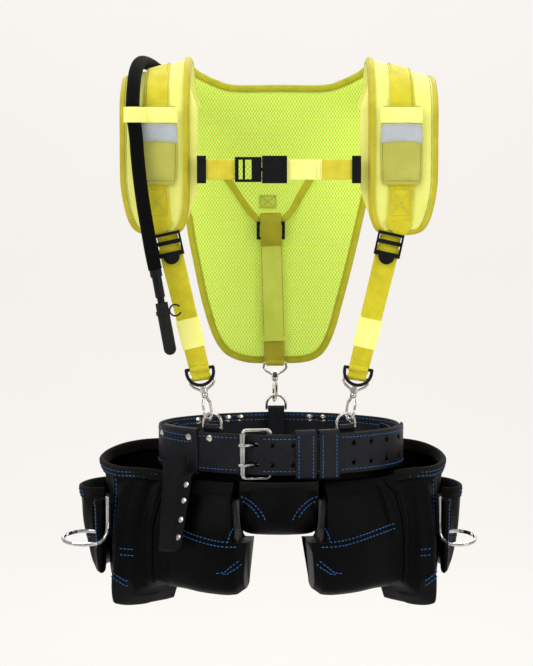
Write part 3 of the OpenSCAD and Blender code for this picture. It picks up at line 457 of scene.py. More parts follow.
def build(name, verts, faces, mats, face_mats=None, st=None):
    """A mesh object from points in millimetres."""
    mesh = bpy.data.meshes.new(name)
    mesh.from_pydata([tuple(float(c) * MM for c in v) for v in verts], [],
                     [tuple(int(i) for i in f) for f in faces])
    for m in (mats if isinstance(mats, (list, tuple)) else [mats]):
        mesh.materials.append(M[m])
    if face_mats is not None:
        mesh.polygons.foreach_set("material_index", np.asarray(face_mats, np.int32))
    mesh.polygons.foreach_set("use_smooth", [True] * len(mesh.polygons))
    if st is not None:
        layer = mesh.attributes.new("st", "FLOAT_VECTOR", "POINT")
        layer.data.foreach_set("vector", (np.asarray(st, np.float32) * MM).ravel())
    bm = bmesh.new()
    bm.from_mesh(mesh)
    bmesh.ops.recalc_face_normals(bm, faces=bm.faces)
    bm.to_mesh(mesh)
    bm.free()
    mesh.set_sharp_from_angle(angle=math.radians(48))
    mesh.update()
    obj = bpy.data.objects.new(name, mesh)
    bpy.context.scene.collection.objects.link(obj)
    return obj


def joined(parts):
    """One set of points and faces from several (verts, faces, st) sets."""
    verts, faces, st, base = [], [], [], 0
    for v, f, s in parts:
        verts.append(np.asarray(v, float))
        faces += [tuple(i + base for i in face) for face in f]
        st.append(np.asarray(s if s is not None else np.zeros((len(v), 3)), float))
        base += len(v)
    return np.vstack(verts), faces, np.vstack(st)


def skin(rings, loop=True, ends=True, wrap_rows=False):
    """Faces over rows of points: loop joins each row's ends, ends closes the first and last rows."""
    rows, n = len(rings), len(rings[0])
    faces = []
    for r in range(rows if wrap_rows else rows - 1):
        q = (r + 1) % rows
        for i in range(n if loop else n - 1):
            j = (i + 1) % n
            faces.append((r * n + i, r * n + j, q * n + j, q * n + i))
    if ends and loop and not wrap_rows:
        faces.append(tuple(range(n))[::-1])
        faces.append(tuple(range((rows - 1) * n, rows * n)))
    return faces


def rounded(width, thick, lift=0.0, edge=None, steps=6, crown=0.0):
    """Profile of a strap: across and height pairs, with rounded edges and a slight crown."""
    r = min(thick / 2, width / 2) if edge is None else edge
    h = width / 2
    arc = [math.radians(a) for a in (0, 30, 60, 90)]
    pts = []
    for k in range(steps + 1):
        a = -h + r + (2 * h - 2 * r) * k / steps
        pts.append((a, lift + thick + crown * (1 - (a / h) ** 2)))
    pts += [(h - r + r * math.sin(q), lift + thick - r + r * math.cos(q)) for q in arc[1:]]
    if thick - 2 * r > 1e-6:
        pts.append((h, lift + r))
    pts += [(h - r + r * math.cos(q), lift + r - r * math.sin(q)) for q in arc[1:]]
    pts += [(h - r - (2 * h - 2 * r) * k / steps, lift) for k in range(1, steps)]
    pts += [(-h + r - r * math.sin(q), lift + r - r * math.cos(q)) for q in arc]
    if thick - 2 * r > 1e-6:
        pts.append((-h, lift + thick - r))
    pts += [(-h + r - r * math.cos(q), lift + thick - r + r * math.sin(q)) for q in arc[1:-1]]
    return pts


def frames(path, up, closed):
    """Side and normal at each point of a path."""
    p = np.asarray(path, float)
    if closed:
        w = np.roll(p, -1, 0) - np.roll(p, 1, 0)
    else:
        w = np.gradient(p, axis=0)
    w = w / np.linalg.norm(w, axis=1)[:, None]
    n = np.asarray(up, float)
    if n.ndim == 1:
        n = np.tile(n, (len(p), 1))
    n = n - (n * w).sum(1)[:, None] * w
    n = n / np.linalg.norm(n, axis=1)[:, None]
    return np.cross(w, n), n


def sweep(path, up, profile, closed=False, widths=None, thicks=None):
    """A profile carried along a path; up gives the profile's height direction."""
    p = np.asarray(path, float)
    e, n = frames(p, up, closed)
    s = np.concatenate([[0], np.cumsum(np.linalg.norm(np.diff(p, axis=0), axis=1))])
    verts, st = [], []
    for i in range(len(p)):
        kw = 1.0 if widths is None else widths[i]
        kt = 1.0 if thicks is None else thicks[i]
        for a, b in profile:
            verts.append(p[i] + e[i] * a * kw + n[i] * b * kt)
            st.append((s[i], a * kw, b))
    return np.array(verts), skin([profile] * len(p), True, not closed, closed), np.array(st)


def round_profile(r, sides):
    return [(r * math.cos(2 * math.pi * k / sides), r * math.sin(2 * math.pi * k / sides))
            for k in range(sides)]


def circle(n):
    """Angles of n points round a circle."""
    return np.linspace(0, 2 * math.pi, n, endpoint=False)


def transported(path, start):
    """Normals carried along a path without twisting."""
    p = np.asarray(path, float)
    w = np.gradient(p, axis=0)
    w /= np.linalg.norm(w, axis=1)[:, None]
    n = unit(np.asarray(start, float) - np.dot(start, w[0]) * w[0])
    made = [n]
    for i in range(1, len(p)):
        n = unit(n - np.dot(n, w[i]) * w[i])
        made.append(n)
    return np.array(made)


def add_mesh(name, parts, mats, replaces=(), body=ROOT, face_mats=None):
    """One finished piece from several (verts, faces, st) sets."""
    v, f, s = joined(parts)
    return finish_mesh(build(name, v, f, mats, face_mats, s), body, replaces)


# Stitching: short rounded lengths of thread along a line on a surface
STITCHES, STITCH_LIFT = {}, 0.15

FINE_DARK = {"kind": "dark_thread", "pitch": 2.8, "length": 2.1}
ROW_DARK = {"kind": "dark_thread", "pitch": 3.0, "length": 2.2, "r": 0.35}
FINE_PALE = {"kind": "pale_thread", "pitch": 2.8, "length": 2.1, "r": 0.32}


def stitch(line, normals, kind="thread", body=ROOT, pitch=5.3, length=3.5, r=0.55):
    """A row of stitches along a line on a surface, with the surface's normals."""
    p = np.asarray(line, float)
    nn = np.asarray(normals, float)
    if nn.ndim == 1:
        nn = np.tile(nn, (len(p), 1))
    s = np.concatenate([[0], np.cumsum(np.linalg.norm(np.diff(p, axis=0), axis=1))])
    count = int(s[-1] // pitch)
    parts = STITCHES.setdefault((kind, body), [])
    for k in range(count):
        mid = (k + 0.5) * pitch + 0.12 * pitch * math.sin(7.3 * k)
        c = np.array([np.interp(mid, s, p[:, j]) for j in range(3)])
        a = np.array([np.interp(mid - length / 2, s, p[:, j]) for j in range(3)])
        b = np.array([np.interp(mid + length / 2, s, p[:, j]) for j in range(3)])
        n = unit([np.interp(mid, s, nn[:, j]) for j in range(3)])
        w = unit(b - a)
        e = np.cross(w, n)
        rings = []
        for x, k2, z in ((-0.5, 0.25, -0.9), (-0.42, 0.8, -0.2), (-0.2, 1.0, 0.25), (0.2, 1.0, 0.25),
                         (0.42, 0.8, -0.2), (0.5, 0.25, -0.9)):
            o = c + w * length * x + n * (STITCH_LIFT + z * r * 0.5)
            rings.append([o + (e * math.cos(q) + n * math.sin(q) * 0.8) * r * k2
                          for q in (2 * math.pi * i / 6 for i in range(6))])
        parts.append(tube(rings))


def lay_stitches():
    """One mesh for all the stitches of a thread and a body."""
    for (kind, body), parts in STITCHES.items():
        add_mesh(f"stitching_{kind}_{body}", parts, kind, body=body)


def apply_mods(obj):
    """The object's modifiers made part of its mesh."""
    graph = bpy.context.evaluated_depsgraph_get()
    mesh = bpy.data.meshes.new_from_object(obj.evaluated_get(graph))
    obj.modifiers.clear()
    obj.data = mesh
    return obj


def open_grid(rows):
    """Faces over a grid of points given as rows."""
    return np.array(rows, float).reshape(-1, 3), skin(rows, False, False), None


def tube(rings, ends=True):
    """Faces over closed rings of points, with or without the two ends."""
    return np.array(rings, float).reshape(-1, 3), skin(rings, True, ends), None


def cap(points):
    """One face through a closed line of points."""
    return np.asarray(points, float), [tuple(range(len(points)))], None


def bent(v):
    """Points given as length along the front of the belt, distance out and height."""
    return np.array([at(tongue_angle(s), d, z) for s, d, z in v])


# ---------------------------------------------------------------- CAD nodes that keep their shape
KEPT = {
    "chrome": ["buckle_frame", "buckle_roller", "prong_upper", "prong_lower", "hammer_loop_left",
               "hammer_loop_right"],
    "nickel": ["belt_dring_left", "belt_dring_right", "belt_dring_rear", "hook_frame_left",
               "hook_frame_right", "hook_frame_rear", "snap_hook_left", "snap_hook_right", "snap_hook_rear",
               "hook_gate_left", "hook_gate_right", "hook_gate_rear", "rivets"],
    "plastic": ["ladder_lock_left", "ladder_lock_right", "strap_dring_left", "strap_dring_right",
                "rear_triglide", "chest_sliders", "chest_buckle_socket", "chest_buckle_plug",
                "release_tab_upper", "release_tab_lower", "bite_valve"],
    "rubber": ["bite_cover"],
    "film": ["reservoir"],
}
for kind, nodes in KEPT.items():
    for node in nodes:
        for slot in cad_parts[node].material_slots:
            slot.link = "OBJECT"
            slot.material = M[kind]

# ---------------------------------------------------------------- drinking hose
HOSE_ROUTE = [(-66, 119, 396), (-66, 119, 411), (-69, 119, 426), (-77, 119, 440), (-89, 119, 452),
              (-103, 119, 462), (-118, 119, 470), (-132, 115, 476), (-144, 103, 479.5), (-153, 86, 481.5),
              (-161, 64, 486), (-167.5, 40, 490.5), (-172.5, 15, 492), (-176, -10, 491), (-178.5, -33, 486),
              (-180, -57, 475.5), (-180.5, -79, 460), (-180.5, -95.5, 442), (-180, -104.5, 429),
              (-178.5, -108, 415), (-176, -109, 397), (-174, -109.5, 370), (-171, -110, 340),
              (-167, -110.5, 310), (-162, -111, 280), (-157.5, -112, 254), (-153, -112, 232)]
HOSE_R, HOSE_SIDES = 8.5, 24
hose_path = spline(HOSE_ROUTE, 2.5)
hose_up = transported(hose_path, (1, 0, 0))
v, f, s = sweep(hose_path, hose_up, round_profile(HOSE_R, HOSE_SIDES))
ring_arc = np.tile(np.arange(HOSE_SIDES) * (2 * math.pi * HOSE_R / HOSE_SIDES), len(hose_path))
s = np.column_stack([s[:, 0], ring_arc, np.zeros(len(s))])
hose = add_mesh("drinking_hose_sleeve", [(v, f, s)], "hose", ["drinking_hose"])

# ---------------------------------------------------------------- belt
BELT = rounded(2 * BELT_HALF_H, BELT_T, edge=1.3, steps=8)


def edge_mats(st, faces, half, margin):
    """Material 1 for the faces within margin of a strap's edges, 0 for the rest."""
    a = np.asarray(st)[:, 1]
    return [1 if abs(np.mean([a[i] for i in f])) > half - margin else 0 for f in faces]


HEEL_X, HEEL_D = -11.0, -0.5
back_angles = np.linspace(front_angle(HEEL_X + 0.5), 180 + JOIN, 260)
v, f, s = sweep([at(t, 0.0, 0) for t in back_angles], [out(t) for t in back_angles], BELT)
v = v + np.array([[0, 0, 0.22 * wave(p[0], p[1], 0, 37, 2.0)] for p in v])
add_mesh("belt_back", [(v, f, s)], ["belt", "edge"], ["back_belt"],
         face_mats=edge_mats(s, f, BELT_HALF_H, 0.25))

heel = np.array([*oval(front_angle(HEEL_X), HEEL_D), 0.0])
heel_parts = []
for lo, hi in ((-25.5, -16.1), (-8.9, 8.9), (16.1, 25.5)):
    turn = [front_angle(HEEL_X) - a for a in np.linspace(-40, 245, 30)]
    path = [heel + np.array([0, 0, (lo + hi) / 2]) + 2.5 * out(a) for a in turn]
    heel_parts.append(sweep(path, [out(a) for a in turn], rounded(hi - lo, 2.7, edge=1.0)))
add_mesh("belt_heel_fold", heel_parts, "belt")

STEP, TONGUE_LOW, TONGUE_HIGH, TONGUE_END = (-40.0, -20.0), 0.2, 5.1, 215.0


def tongue_lift(t):
    """How far out the tongue lies: low on the left, then up a step onto the belt's other end."""
    x = oval(t, 0)[0]
    if wrap(t) > -90 + 1e-6 or t > 270:
        return TONGUE_HIGH
    if wrap(t) < -130 or wrap(t) > 0:
        return TONGUE_LOW
    return TONGUE_LOW + (TONGUE_HIGH - TONGUE_LOW) * smooth((x - STEP[0]) / (STEP[1] - STEP[0]))


left_part = np.linspace(180 + JOIN + 0.3, 360 + front_angle(STEP[0]), 60)
climb = np.linspace(360 + front_angle(-39.0), 360 + front_angle(-21.0), 16)
right_part = np.linspace(360 + front_angle(STEP[1]), 360 + tongue_angle(TONGUE_END), 110)
tongue_ts = np.concatenate([left_part, climb, right_part])
tongue_ds = [tongue_lift(t) for t in tongue_ts]
tip = np.minimum(1.0, 0.55 + (np.max(tongue_ts) - tongue_ts) / 9.0)
v, f, s = sweep([at(t, d, 0) for t, d in zip(tongue_ts, tongue_ds)], [out(t) for t in tongue_ts], BELT,
                widths=tip)
tongue = build("belt_tongue", v, f, ["belt", "edge"], edge_mats(s, f, BELT_HALF_H, 0.25), s)

# two rows of round holes for the prongs, and a slot in each row where the prongs pass at the buckle
HOLES, HOLE_FIRST, HOLE_R, PRONG_SLOT, SLOT_R = 8, -8.1, 3.0, (-39.3, -23.8), 2.7
cutters, rims = [], []
for z in (ROW_HALF, -ROW_HALF):
    for i in range(HOLES):
        t = tongue_angle(HOLE_FIRST + HOLE_PITCH * i)
        base = at(t, tongue_lift(t) - 3, z)
        n = out(t)
        up = np.array([0, 0, 1.0])
        side = np.cross(up, n)
        cutters.append(tube([[base + n * h + HOLE_R * (side * math.cos(a) + up * math.sin(a))
                              for a in circle(28)] for h in (0, 10)]))
        mid = at(t, tongue_lift(t) + BELT_T - 0.12, z)
        loop = [mid + (HOLE_R + 0.15) * (side * math.cos(a) + up * math.sin(a)) for a in circle(28)]
        rims.append(sweep(loop, n, round_profile(0.42, 6), closed=True))
    rings = []
    for h in (-2, 12):
        ring = []
        for a in circle(28):
            end = PRONG_SLOT[1] - SLOT_R if math.cos(a) > 0 else PRONG_SLOT[0] + SLOT_R
            x, y = oval(front_angle(end + SLOT_R * math.cos(a)), h)
            ring.append((x, y, z + SLOT_R * math.sin(a)))
        rings.append(ring)
    cutters.append(tube(rings))
v, f, _ = joined(cutters)
cutter = build("cutter", v, f, "edge")
cut = tongue.modifiers.new("holes", "BOOLEAN")
cut.operation, cut.solver, cut.object = "DIFFERENCE", "EXACT", cutter
apply_mods(tongue)
bpy.data.objects.remove(cutter)
finish_mesh(tongue, ROOT, ["tongue_strap"])
add_mesh("belt_hole_rims", rims, "edge")


def belt_row(t0, t1, z, depth, side=1):
    """A row of stitches on the belt between two angles; depth is its distance out, side -1 the inside."""
    ts = np.linspace(t0, t1, max(8, int(abs(t1 - t0))))
    depths = [tongue_lift(t) + BELT_T if depth is None else depth for t in ts]
    stitch([at(t, d, z) for t, d in zip(ts, depths)], [out(t) * side for t in ts])


for z in (20.3, -20.3):
    # on the tongue, which climbs over the buckle, and then on the back part of the belt
    belt_row(180 + JOIN + 3, 360 + front_angle(-51), z, None)
    belt_row(360 + front_angle(-20), 360 + tongue_angle(TONGUE_END - 12), z, None)
    belt_row(tongue_angle(TONGUE_END + 4), 180 + JOIN - 1, z, BELT_T)
for z in (21.8, 15.4, -20.5):
    belt_row(8, 172, z, 0, side=-1)

# Belt keepers
KEEPERS = {"keeper_inner": 32.0, "keeper_outer": 61.0}
KEEPER_HALF, KEEPER_FACE = 12.5, 12.35


def corner_loop(d0, d1, z0, z1, r):
    """Rounded rectangle in the plane of distance out and height, anticlockwise, with its outward normals."""
    pts, ups = [], []
    for cd, cz, a0 in ((d1 - r, z1 - r, 0), (d0 + r, z1 - r, 90), (d0 + r, z0 + r, 180),
                       (d1 - r, z0 + r, 270)):
        for k in range(7):
            a = math.radians(a0 + 15 * k)
            pts.append((0, cd + r * math.cos(a), cz + r * math.sin(a)))
            ups.append((0, math.cos(a), math.sin(a)))
    return dense_loop(pts, ups)


def dense_loop(pts, ups):
    """The loop with a point at least about every 3 mm, so that it can be bent."""
    made_p, made_u = [], []
    for i in range(len(pts)):
        a, b = np.array(pts[i]), np.array(pts[(i + 1) % len(pts)])
        ua, ub = np.array(ups[i]), np.array(ups[(i + 1) % len(pts)])
        n = max(1, int(np.linalg.norm(b - a) / 3.0))
        for k in range(n):
            made_p.append(a + (b - a) * k / n)
            made_u.append(unit(ua + (ub - ua) * k / n))
    return np.array(made_p), np.array(made_u)


for name, s0 in KEEPERS.items():
    pts, ups = corner_loop(-0.45, 9.6, -28.7, 28.7, 2.6)
    thick = [2.7 if p[1] > 4 else 1.15 + 1.55 * smooth((p[1] + 0.4) / 4) for p in pts]
    v, f, s = sweep(pts, ups, rounded(2 * KEEPER_HALF, 1.0, edge=0.4, steps=8), closed=True, thicks=thick)
    v = v + np.array([[0, 0.25 * wave(0, 0, p[2], 15, s0) * (p[1] > 9), 0] for p in v])
    add_mesh(name + "_loop", [(bent(v + np.array([s0, 0, 0])), f, s)], ["belt", "edge"],
             [name], name, edge_mats(s, f, KEEPER_HALF, 0.35))
    for off in (-8.6, 8.6):
        stitch(bent([(s0 + off, KEEPER_FACE, z) for z in np.linspace(-29.5, 29.5, 24)]),
               out(tongue_angle(s0 + off)), body=name, pitch=4.6, length=3.3)

# D-ring tabs, folded over the straight bar of each ring
DRING_D, DRING_Z = -4.2, 31.0
tab_parts = []
for t in (-180 - front_angle(86), front_angle(86), 91.2):
    n, w = out(t), np.array([-math.sin(math.radians(t)), math.cos(math.radians(t)), 0])
    o = at(t, 0, 0)
    pts, ups = [], []
    for d, z in ((-6.4, -12), (-6.4, 0), (-6.4, 12), (-6.35, 22), (-6.3, 27)):
        pts.append(o + n * d + np.array([0, 0, z]))
        ups.append(-n)
    for a in np.linspace(180, -40, 16):
        c, q = math.cos(math.radians(a)), math.sin(math.radians(a))
        pts.append(o + n * (DRING_D + 2.15 * c) + np.array([0, 0, DRING_Z + 2.15 * q]))
        ups.append(n * c + np.array([0, 0, q]))
    for d, z in ((-3.6, 26.0), (-4.3, 22), (-4.4, 10), (-4.4, 0), (-4.4, -12)):
        pts.append(o + n * d + np.array([0, 0, z]))
        ups.append(n)
    thick = [0.6] * 4 + [1.2] + [1.9] * 16 + [1.2] + [0.6] * 4
    tab_parts.append(sweep(pts, ups, rounded(22, 1.0, edge=0.35, steps=4), thicks=thick))
    tab_parts.append(sweep([o + n * -6.75 + np.array([0, 0, z]) for z in (-12, 0, 10, 20, 26)], n,
                           rounded(22, 2.2, edge=0.8, steps=4)))
add_mesh("belt_dring_tabs", tab_parts, "belt", ["dring_tabs"])

# ---------------------------------------------------------------- pouches
WALL = 3.0


def through(pts, q):
    """Smooth curve through pts at q, counted in points."""
    i = int(min(max(math.floor(q), 0), len(pts) - 2))
    b, c = pts[i], pts[i + 1]
    a = pts[i - 1] if i > 0 else 2 * b - c
    d = pts[i + 2] if i + 2 < len(pts) else 2 * c - b
    return catmull(a, b, c, d, q - i)


class Skin:
    """A leather wall: u runs along the belt, q from the rim (0) down the outside and round to the back."""

    def __init__(self, profile, place, flip):
        """profile(u, inset) gives the wall's (d, z) points, and place(u, q, d, z) puts them in space."""
        self.profile, self.place, self.flip, self.rows = profile, place, flip, {}

    def row(self, u, inset=0.0):
        key = (round(u, 4), inset)
        if key not in self.rows:
            self.rows[key] = np.array(self.profile(u, inset), float)
        return self.rows[key]

    def at(self, u, q, inset=0.0):
        d, z = through(self.row(u, inset), q)
        return hip(self.place(u, q, d, z), self.flip)

    def normal(self, u, q):
        a = self.at(u + 0.4, q) - self.at(u - 0.4, q)
        b = self.at(u, q + 0.05) - self.at(u, q - 0.05)
        n = unit(np.cross(a, b))
        return n if np.dot(n, self.at(u, q) - self.at(u, q, WALL)) > 0 else -n

    def walls(self, us, qs, inner_us):
        """The outside and the inside of the wall, with both ends of each closed, and the outside's rows."""
        outer = [[self.at(u, q) for q in qs] for u in us]
        inside = [[self.at(u, q, WALL) for q in qs] for u in inner_us]
        return outer, [open_grid(outer), open_grid(inside), cap(outer[0]), cap(outer[-1]), cap(inside[0]),
                       cap(inside[-1])]

    def rim(self, us, toward=None):
        """Middle of the rim and, where toward is given, its direction away from the wall at q = toward."""
        path = [(self.at(u, 0.0) + self.at(u, 0.0, WALL)) / 2 for u in us]
        return path, [unit(self.at(u, 0.0) - self.at(u, toward)) for u in us] if toward else None

    def q_at(self, u, z, q0=0.0, q1=4.5):
        """Where the wall reaches height z on its outside."""
        for _ in range(22):
            mid = (q0 + q1) / 2
            if self.at(u, mid)[2] > z:
                q0 = mid
            else:
                q1 = mid
        return (q0 + q1) / 2

    def line(self, pts, lift=0.0):
        """A line over the wall through (u, q) pairs, with the wall's normals."""
        flat = []
        for (u0, q0), (u1, q1) in zip(pts, pts[1:]):
            n = max(2, int(np.linalg.norm(self.at(u1, q1) - self.at(u0, q0)) / 2.5))
            flat += [(u0 + (u1 - u0) * k / n, q0 + (q1 - q0) * k / n) for k in range(n)]
        flat.append(pts[-1])
        normals = [self.normal(u, q) for u, q in flat]
        return np.array([self.at(u, q) + m * lift for (u, q), m in zip(flat, normals)]), np.array(normals)

    def sew(self, pts, lift=0.0, **kw):
        p, m = self.line(pts, lift)
        stitch(p, m, **kw)

    def patch(self, us, qs, lift):
        """A second layer of leather over part of the wall; qs(k) gives the q range at u number k."""
        rows = []
        for k, u in enumerate(us):
            a, b = qs(k)
            row = []
            for j in range(15):
                q = a + (b - a) * j / 14
                rim = min(k, len(us) - 1 - k, j, 14 - j)
                h = lift * (0 if rim == 0 else 0.8 if rim == 1 else 1.0)
                row.append(self.at(u, q) + self.normal(u, q) * (h - (0.3 if rim == 0 else 0)))
            rows.append(row)
        return open_grid(rows)


# Profile of a folded binding that straddles a pouch's rim
SADDLE = [(-3.0, -11.5), (-3.1, -4), (-3.0, 0.2), (-2.3, 1.7), (-0.9, 2.4), (0.9, 2.4), (2.3, 1.7),
          (3.0, 0.2), (3.1, -4), (3.0, -11.5), (1.5, -11.5), (1.4, -0.2), (-1.4, -0.2), (-1.5, -11.5)]

# Hip bag: angle round the belt, depth of the body, depth of the rim, top and bottom
BAG_ROWS = [[146, 16, 12, -4, -140], [154, 46, 40, -6, -158], [164, 66, 62, -10, -168],
            [176, 70, 76, -16, -176], [188, 68, 80, -20, -186], [198, 66, 76, -22, -196],
            [207, 75, 66, -24, -202], [215, 66, 46, -25, -190], [222, 54, 26, -28, -175],
            [228, 41, 10, -35, -172], [236, 40, 6, -36, -172], [244, 41, 6, -36, -174],
            [252, 40, 6, -36, -175], [257, 37, 5, -36, -174], [260, 30, 4, -36, -168]]
BAG_T = [r[0] for r in BAG_ROWS]
OPEN_TO = 222.0


def bump(x, centre, width):
    return math.exp(-((x - centre) / width) ** 2)


def bag_profile(t, inset):
    b, r, top, low = (table_at(BAG_T, [row[k] for row in BAG_ROWS], t) for k in (1, 2, 3, 4))
    b, r, low = b - inset, r - inset, low + inset
    din, span = BACKING[0] + inset, top - low
    return [(r, top), (r + (b - r) * 0.28, low + 0.92 * span), (b + (r - b) * 0.45, low + 0.85 * span),
            (b, low + 0.6 * span), (b + 1, low + 0.35 * span), (b - 1, low + 14), (b - 9, low + 3),
            (b / 2, low), (din + 7, low + 2), (din, low + 14), (din, top - 0.45 * span), (din, top)]


def bag_place(seed):
    def place(t, q, d, z):
        hang = smooth(q / 1.2) * (1 - smooth((q - 5.2) / 1.2))
        fold = (4.6 * bump(t, 226.5, 2.6) - 5.0 * bump(t, 221.4, 2.4) - 3.0 * bump(t, 231.6, 1.8)
                + 3.2 * bump(t, 214.0 - 1.0 * q, 2.4) - 2.4 * bump(t, 209.0 - 1.2 * q, 2.0)
                + 1.6 * bump(t, 196, 3) - 1.5 * bump(t, 190, 3) + 1.3 * bump(t, 170, 4)
                - 1.4 * bump(t, 163, 4))
        flat = 0.9 * wave(t * 2.2, z, 0, 26, seed) + 0.35 * wave(t * 2.2, z * 1.6, 9, 9, seed + 3)
        flat += 1.1 * bump(z, -108 + 6 * math.sin(t * 0.3), 9) * smooth((t - 228) / 6)
        d2 = d + hang * (fold + flat)
        t2 = t + 1.6 * smooth((t - 250) / 10) * math.sin((z + 100) / 42) * smooth((-z - 40) / 30)
        cut = smooth((t - 253.5) / 2.0)
        z2 = z if z < -106 else z + (-106 - z) * cut
        return at(t2, d2, z2)
    return place


def arc_stitches(sk, pts, **kw):
    """Two parallel rows, 5.5 mm apart, through (u, z) pairs on the front of a wall."""
    for k in (-2.75, 2.75):
        made = []
        for i, (u, z) in enumerate(pts):
            j0, j1 = pts[max(i - 1, 0)], pts[min(i + 1, len(pts) - 1)]
            along = unit([(j1[0] - j0[0]) * 3.6, j1[1] - j0[1], 0])
            u2, z2 = u - along[1] * k / 3.6, z + along[0] * k
            made.append((u2, sk.q_at(u2, z2)))
        sk.sew(made, **kw)


def backing_band(t0, t1, steps):
    """The leather behind a pouch, which rides inside the belt between two angles."""
    ts = np.linspace(t0, t1, steps)
    return sweep([at(t, BACKING[0], -20) for t in ts], [out(t) for t in ts],
                 rounded(80, BACKING[1] - BACKING[0], edge=0.9))


def cup_z(u):
    """Top edge of the chevron cup over the bottom corner of a hip bag."""
    return -163 + 11 * bump(u, 208, 4.2) - 5 * bump(u, 197, 4)


def main_bag(name, flip, seed):
    sk = Skin(bag_profile, bag_place(seed), flip)
    us = np.concatenate([np.linspace(146, 226, 110), np.linspace(226.6, 260, 56)])
    qs = np.concatenate([np.linspace(0, 7, 42), np.linspace(7.4, 11, 8)])
    outer, parts = sk.walls(us, qs, np.linspace(148.4, OPEN_TO - 0.5, 70))
    parts.append(open_grid([[row[0], (row[0] + row[-1]) / 2 - np.array([0, 0, 1.0]), row[-1]]
                            for u, row in zip(us, outer) if u >= OPEN_TO - 1]))
    v, f, s = backing_band(148, 256, 90)
    parts.append((hip(v, flip), f, s))
    add_mesh(f"{name}_leather", parts, "bag", [name])

    # folded binding over the mouth, from the rear belt end round the hip to the front panel
    path, ups = sk.rim(np.linspace(147.2, 223.5, 80), 0.55)
    lead = [hip(at(146.6, d, -3.6), flip) for d in (-5, 1, 6)]
    add_mesh(f"{name}_binding", [sweep(lead + path, [(0, 0, 1)] * 3 + ups, SADDLE)], "suede")
    for q, k in ((0.28, 1.7), (0.62, 1.7)):
        sk.sew([(t, q) for t in np.linspace(150, 222, 30)], lift=k, pitch=5.4)

    # edge seam down the hip, chevron cup over the bottom corner, patches
    sk.sew([(205.5, 0.9), (206, 2), (206, 3.4), (205, 5.0)], lift=0.1, pitch=5.6)
    cup_us = np.linspace(197.5, 217.5, 21)
    cup = sk.patch(cup_us, lambda k: (sk.q_at(cup_us[k], cup_z(cup_us[k]), 1, 6), 7.4), 1.5)
    add_mesh(f"{name}_corner_cup", [cup], "matte")
    for drop in (3.5, 10.0):
        sk.sew([(u, sk.q_at(u, cup_z(u) - drop, 1, 6)) for u in np.linspace(198.5, 216.5, 22)], lift=1.5,
               pitch=5.0)
    for z in (-125, -133):
        sk.sew([(u, sk.q_at(u, z)) for u in np.linspace(212, 218.5, 6)], pitch=5.0)
    # lower half of the front panel is a second piece, joined by a double seam
    seam_z = lambda t: -90 - 14 * smooth((t - 230) / 24)
    seam_us = np.linspace(229.5, 258.6, 30)
    lower = sk.patch(seam_us, lambda k: (sk.q_at(seam_us[k], seam_z(seam_us[k]) - 8.5), 6.6), 1.2)
    add_mesh(f"{name}_lower_panel", [lower], "bag")
    for dz in (0, -5.8):
        sk.sew([(u, sk.q_at(u, seam_z(u) + dz - 0.5)) for u in np.linspace(230.5, 257.5, 26)],
               lift=1.1 if dz else 0.2, pitch=5.0, length=3.2)
    arc_stitches(sk, [(258.6, -130), (256.5, -137), (253.8, -145), (250.6, -155)], lift=1.3, pitch=5.0)
    # welt down the front corner
    welt = spline(sk.line([(229.0 - 0.55 * q, q) for q in np.linspace(0.2, 5.6, 12)], 0.2)[0], 4)
    add_mesh(f"{name}_welt", [sweep(welt, transported(welt, (0, -1, 0)), round_profile(2.1, 10))], "bag")


main_bag("main_bag_left", 1.0, 1.0)
main_bag("main_bag_right", -1.0, 5.0)

# Side pouch: angle round the belt, and the depths of its back, rim and bottom
SIDE_ROWS = [[156, 56, 84, 74], [162, 67, 97, 84], [170, 72.5, 105, 90], [178, 74.5, 108, 92],
             [185, 74.5, 105, 91], [190, 74, 92, 84]]
SIDE_T = [r[0] for r in SIDE_ROWS]
SIDE_RIM, SIDE_LOW = -58.0, -168.0


def side_profile(t, inset):
    din, rim, low = (table_at(SIDE_T, [row[k] for row in SIDE_ROWS], t) for k in (1, 2, 3))
    inset *= 0.8
    din, rim, low = din + inset, rim - inset, low - inset
    zb = SIDE_LOW + inset
    return [(rim, SIDE_RIM), (low + (rim - low) * 0.86, SIDE_RIM - 22), (low + (rim - low) * 0.6, -113),
            (low + (rim - low) * 0.25, -136), (low, zb + 16), ((din + low) / 2 + 4, zb + 3),
            ((din + low) / 2, zb), (din, zb + 10), (din, -110), (din, SIDE_RIM)]


def side_place(seed):
    def place(t, q, d, z):
        k = smooth(q / 1.0) * (1 - smooth((q - 4) / 1.0))
        sag = 1.4 * math.sin(t * 0.9) * smooth((-z - 70) / 40)
        return at(t, d + k * (1.2 * wave(t * 2.5, z, 0, 17, seed) + sag), z)
    return place


def side_pouch(side, flip, seed):
    sk = Skin(side_profile, side_place(seed), flip)
    _, parts = sk.walls(np.linspace(156, 190, 60), np.linspace(0, 9, 44), np.linspace(157.6, 188.6, 44))
    add_mesh(f"side_pouch_{side}_leather", parts, "bag", [f"side_pouch_{side}"])
    path, ups = sk.rim(np.linspace(156.8, 189.2, 36), 0.4)
    path = ([hip(at(157, d, SIDE_RIM), flip) for d in (60, 66, 76)] + path
            + [hip(at(189.4, d, SIDE_RIM), flip) for d in (86, 80, 76)])
    ups = [(0, 0, 1)] * 3 + ups + [(0, 0, 1)] * 3
    add_mesh(f"side_pouch_{side}_binding", [sweep(path, ups, [(a * 0.85, b) for a, b in SADDLE])], "suede")
    for q in (0.14, 0.36):
        sk.sew([(t, q) for t in np.linspace(158, 188, 18)], lift=1.5, pitch=5.2)
    for z in (-122, -129):
        sk.sew([(u, sk.q_at(u, z, 0, 4)) for u in np.linspace(178, 188.5, 10)], pitch=5.0)


for side, flip, seed in (("left", 1.0, 2.0), ("right", -1.0, 7.0)):
    side_pouch(side, flip, seed)


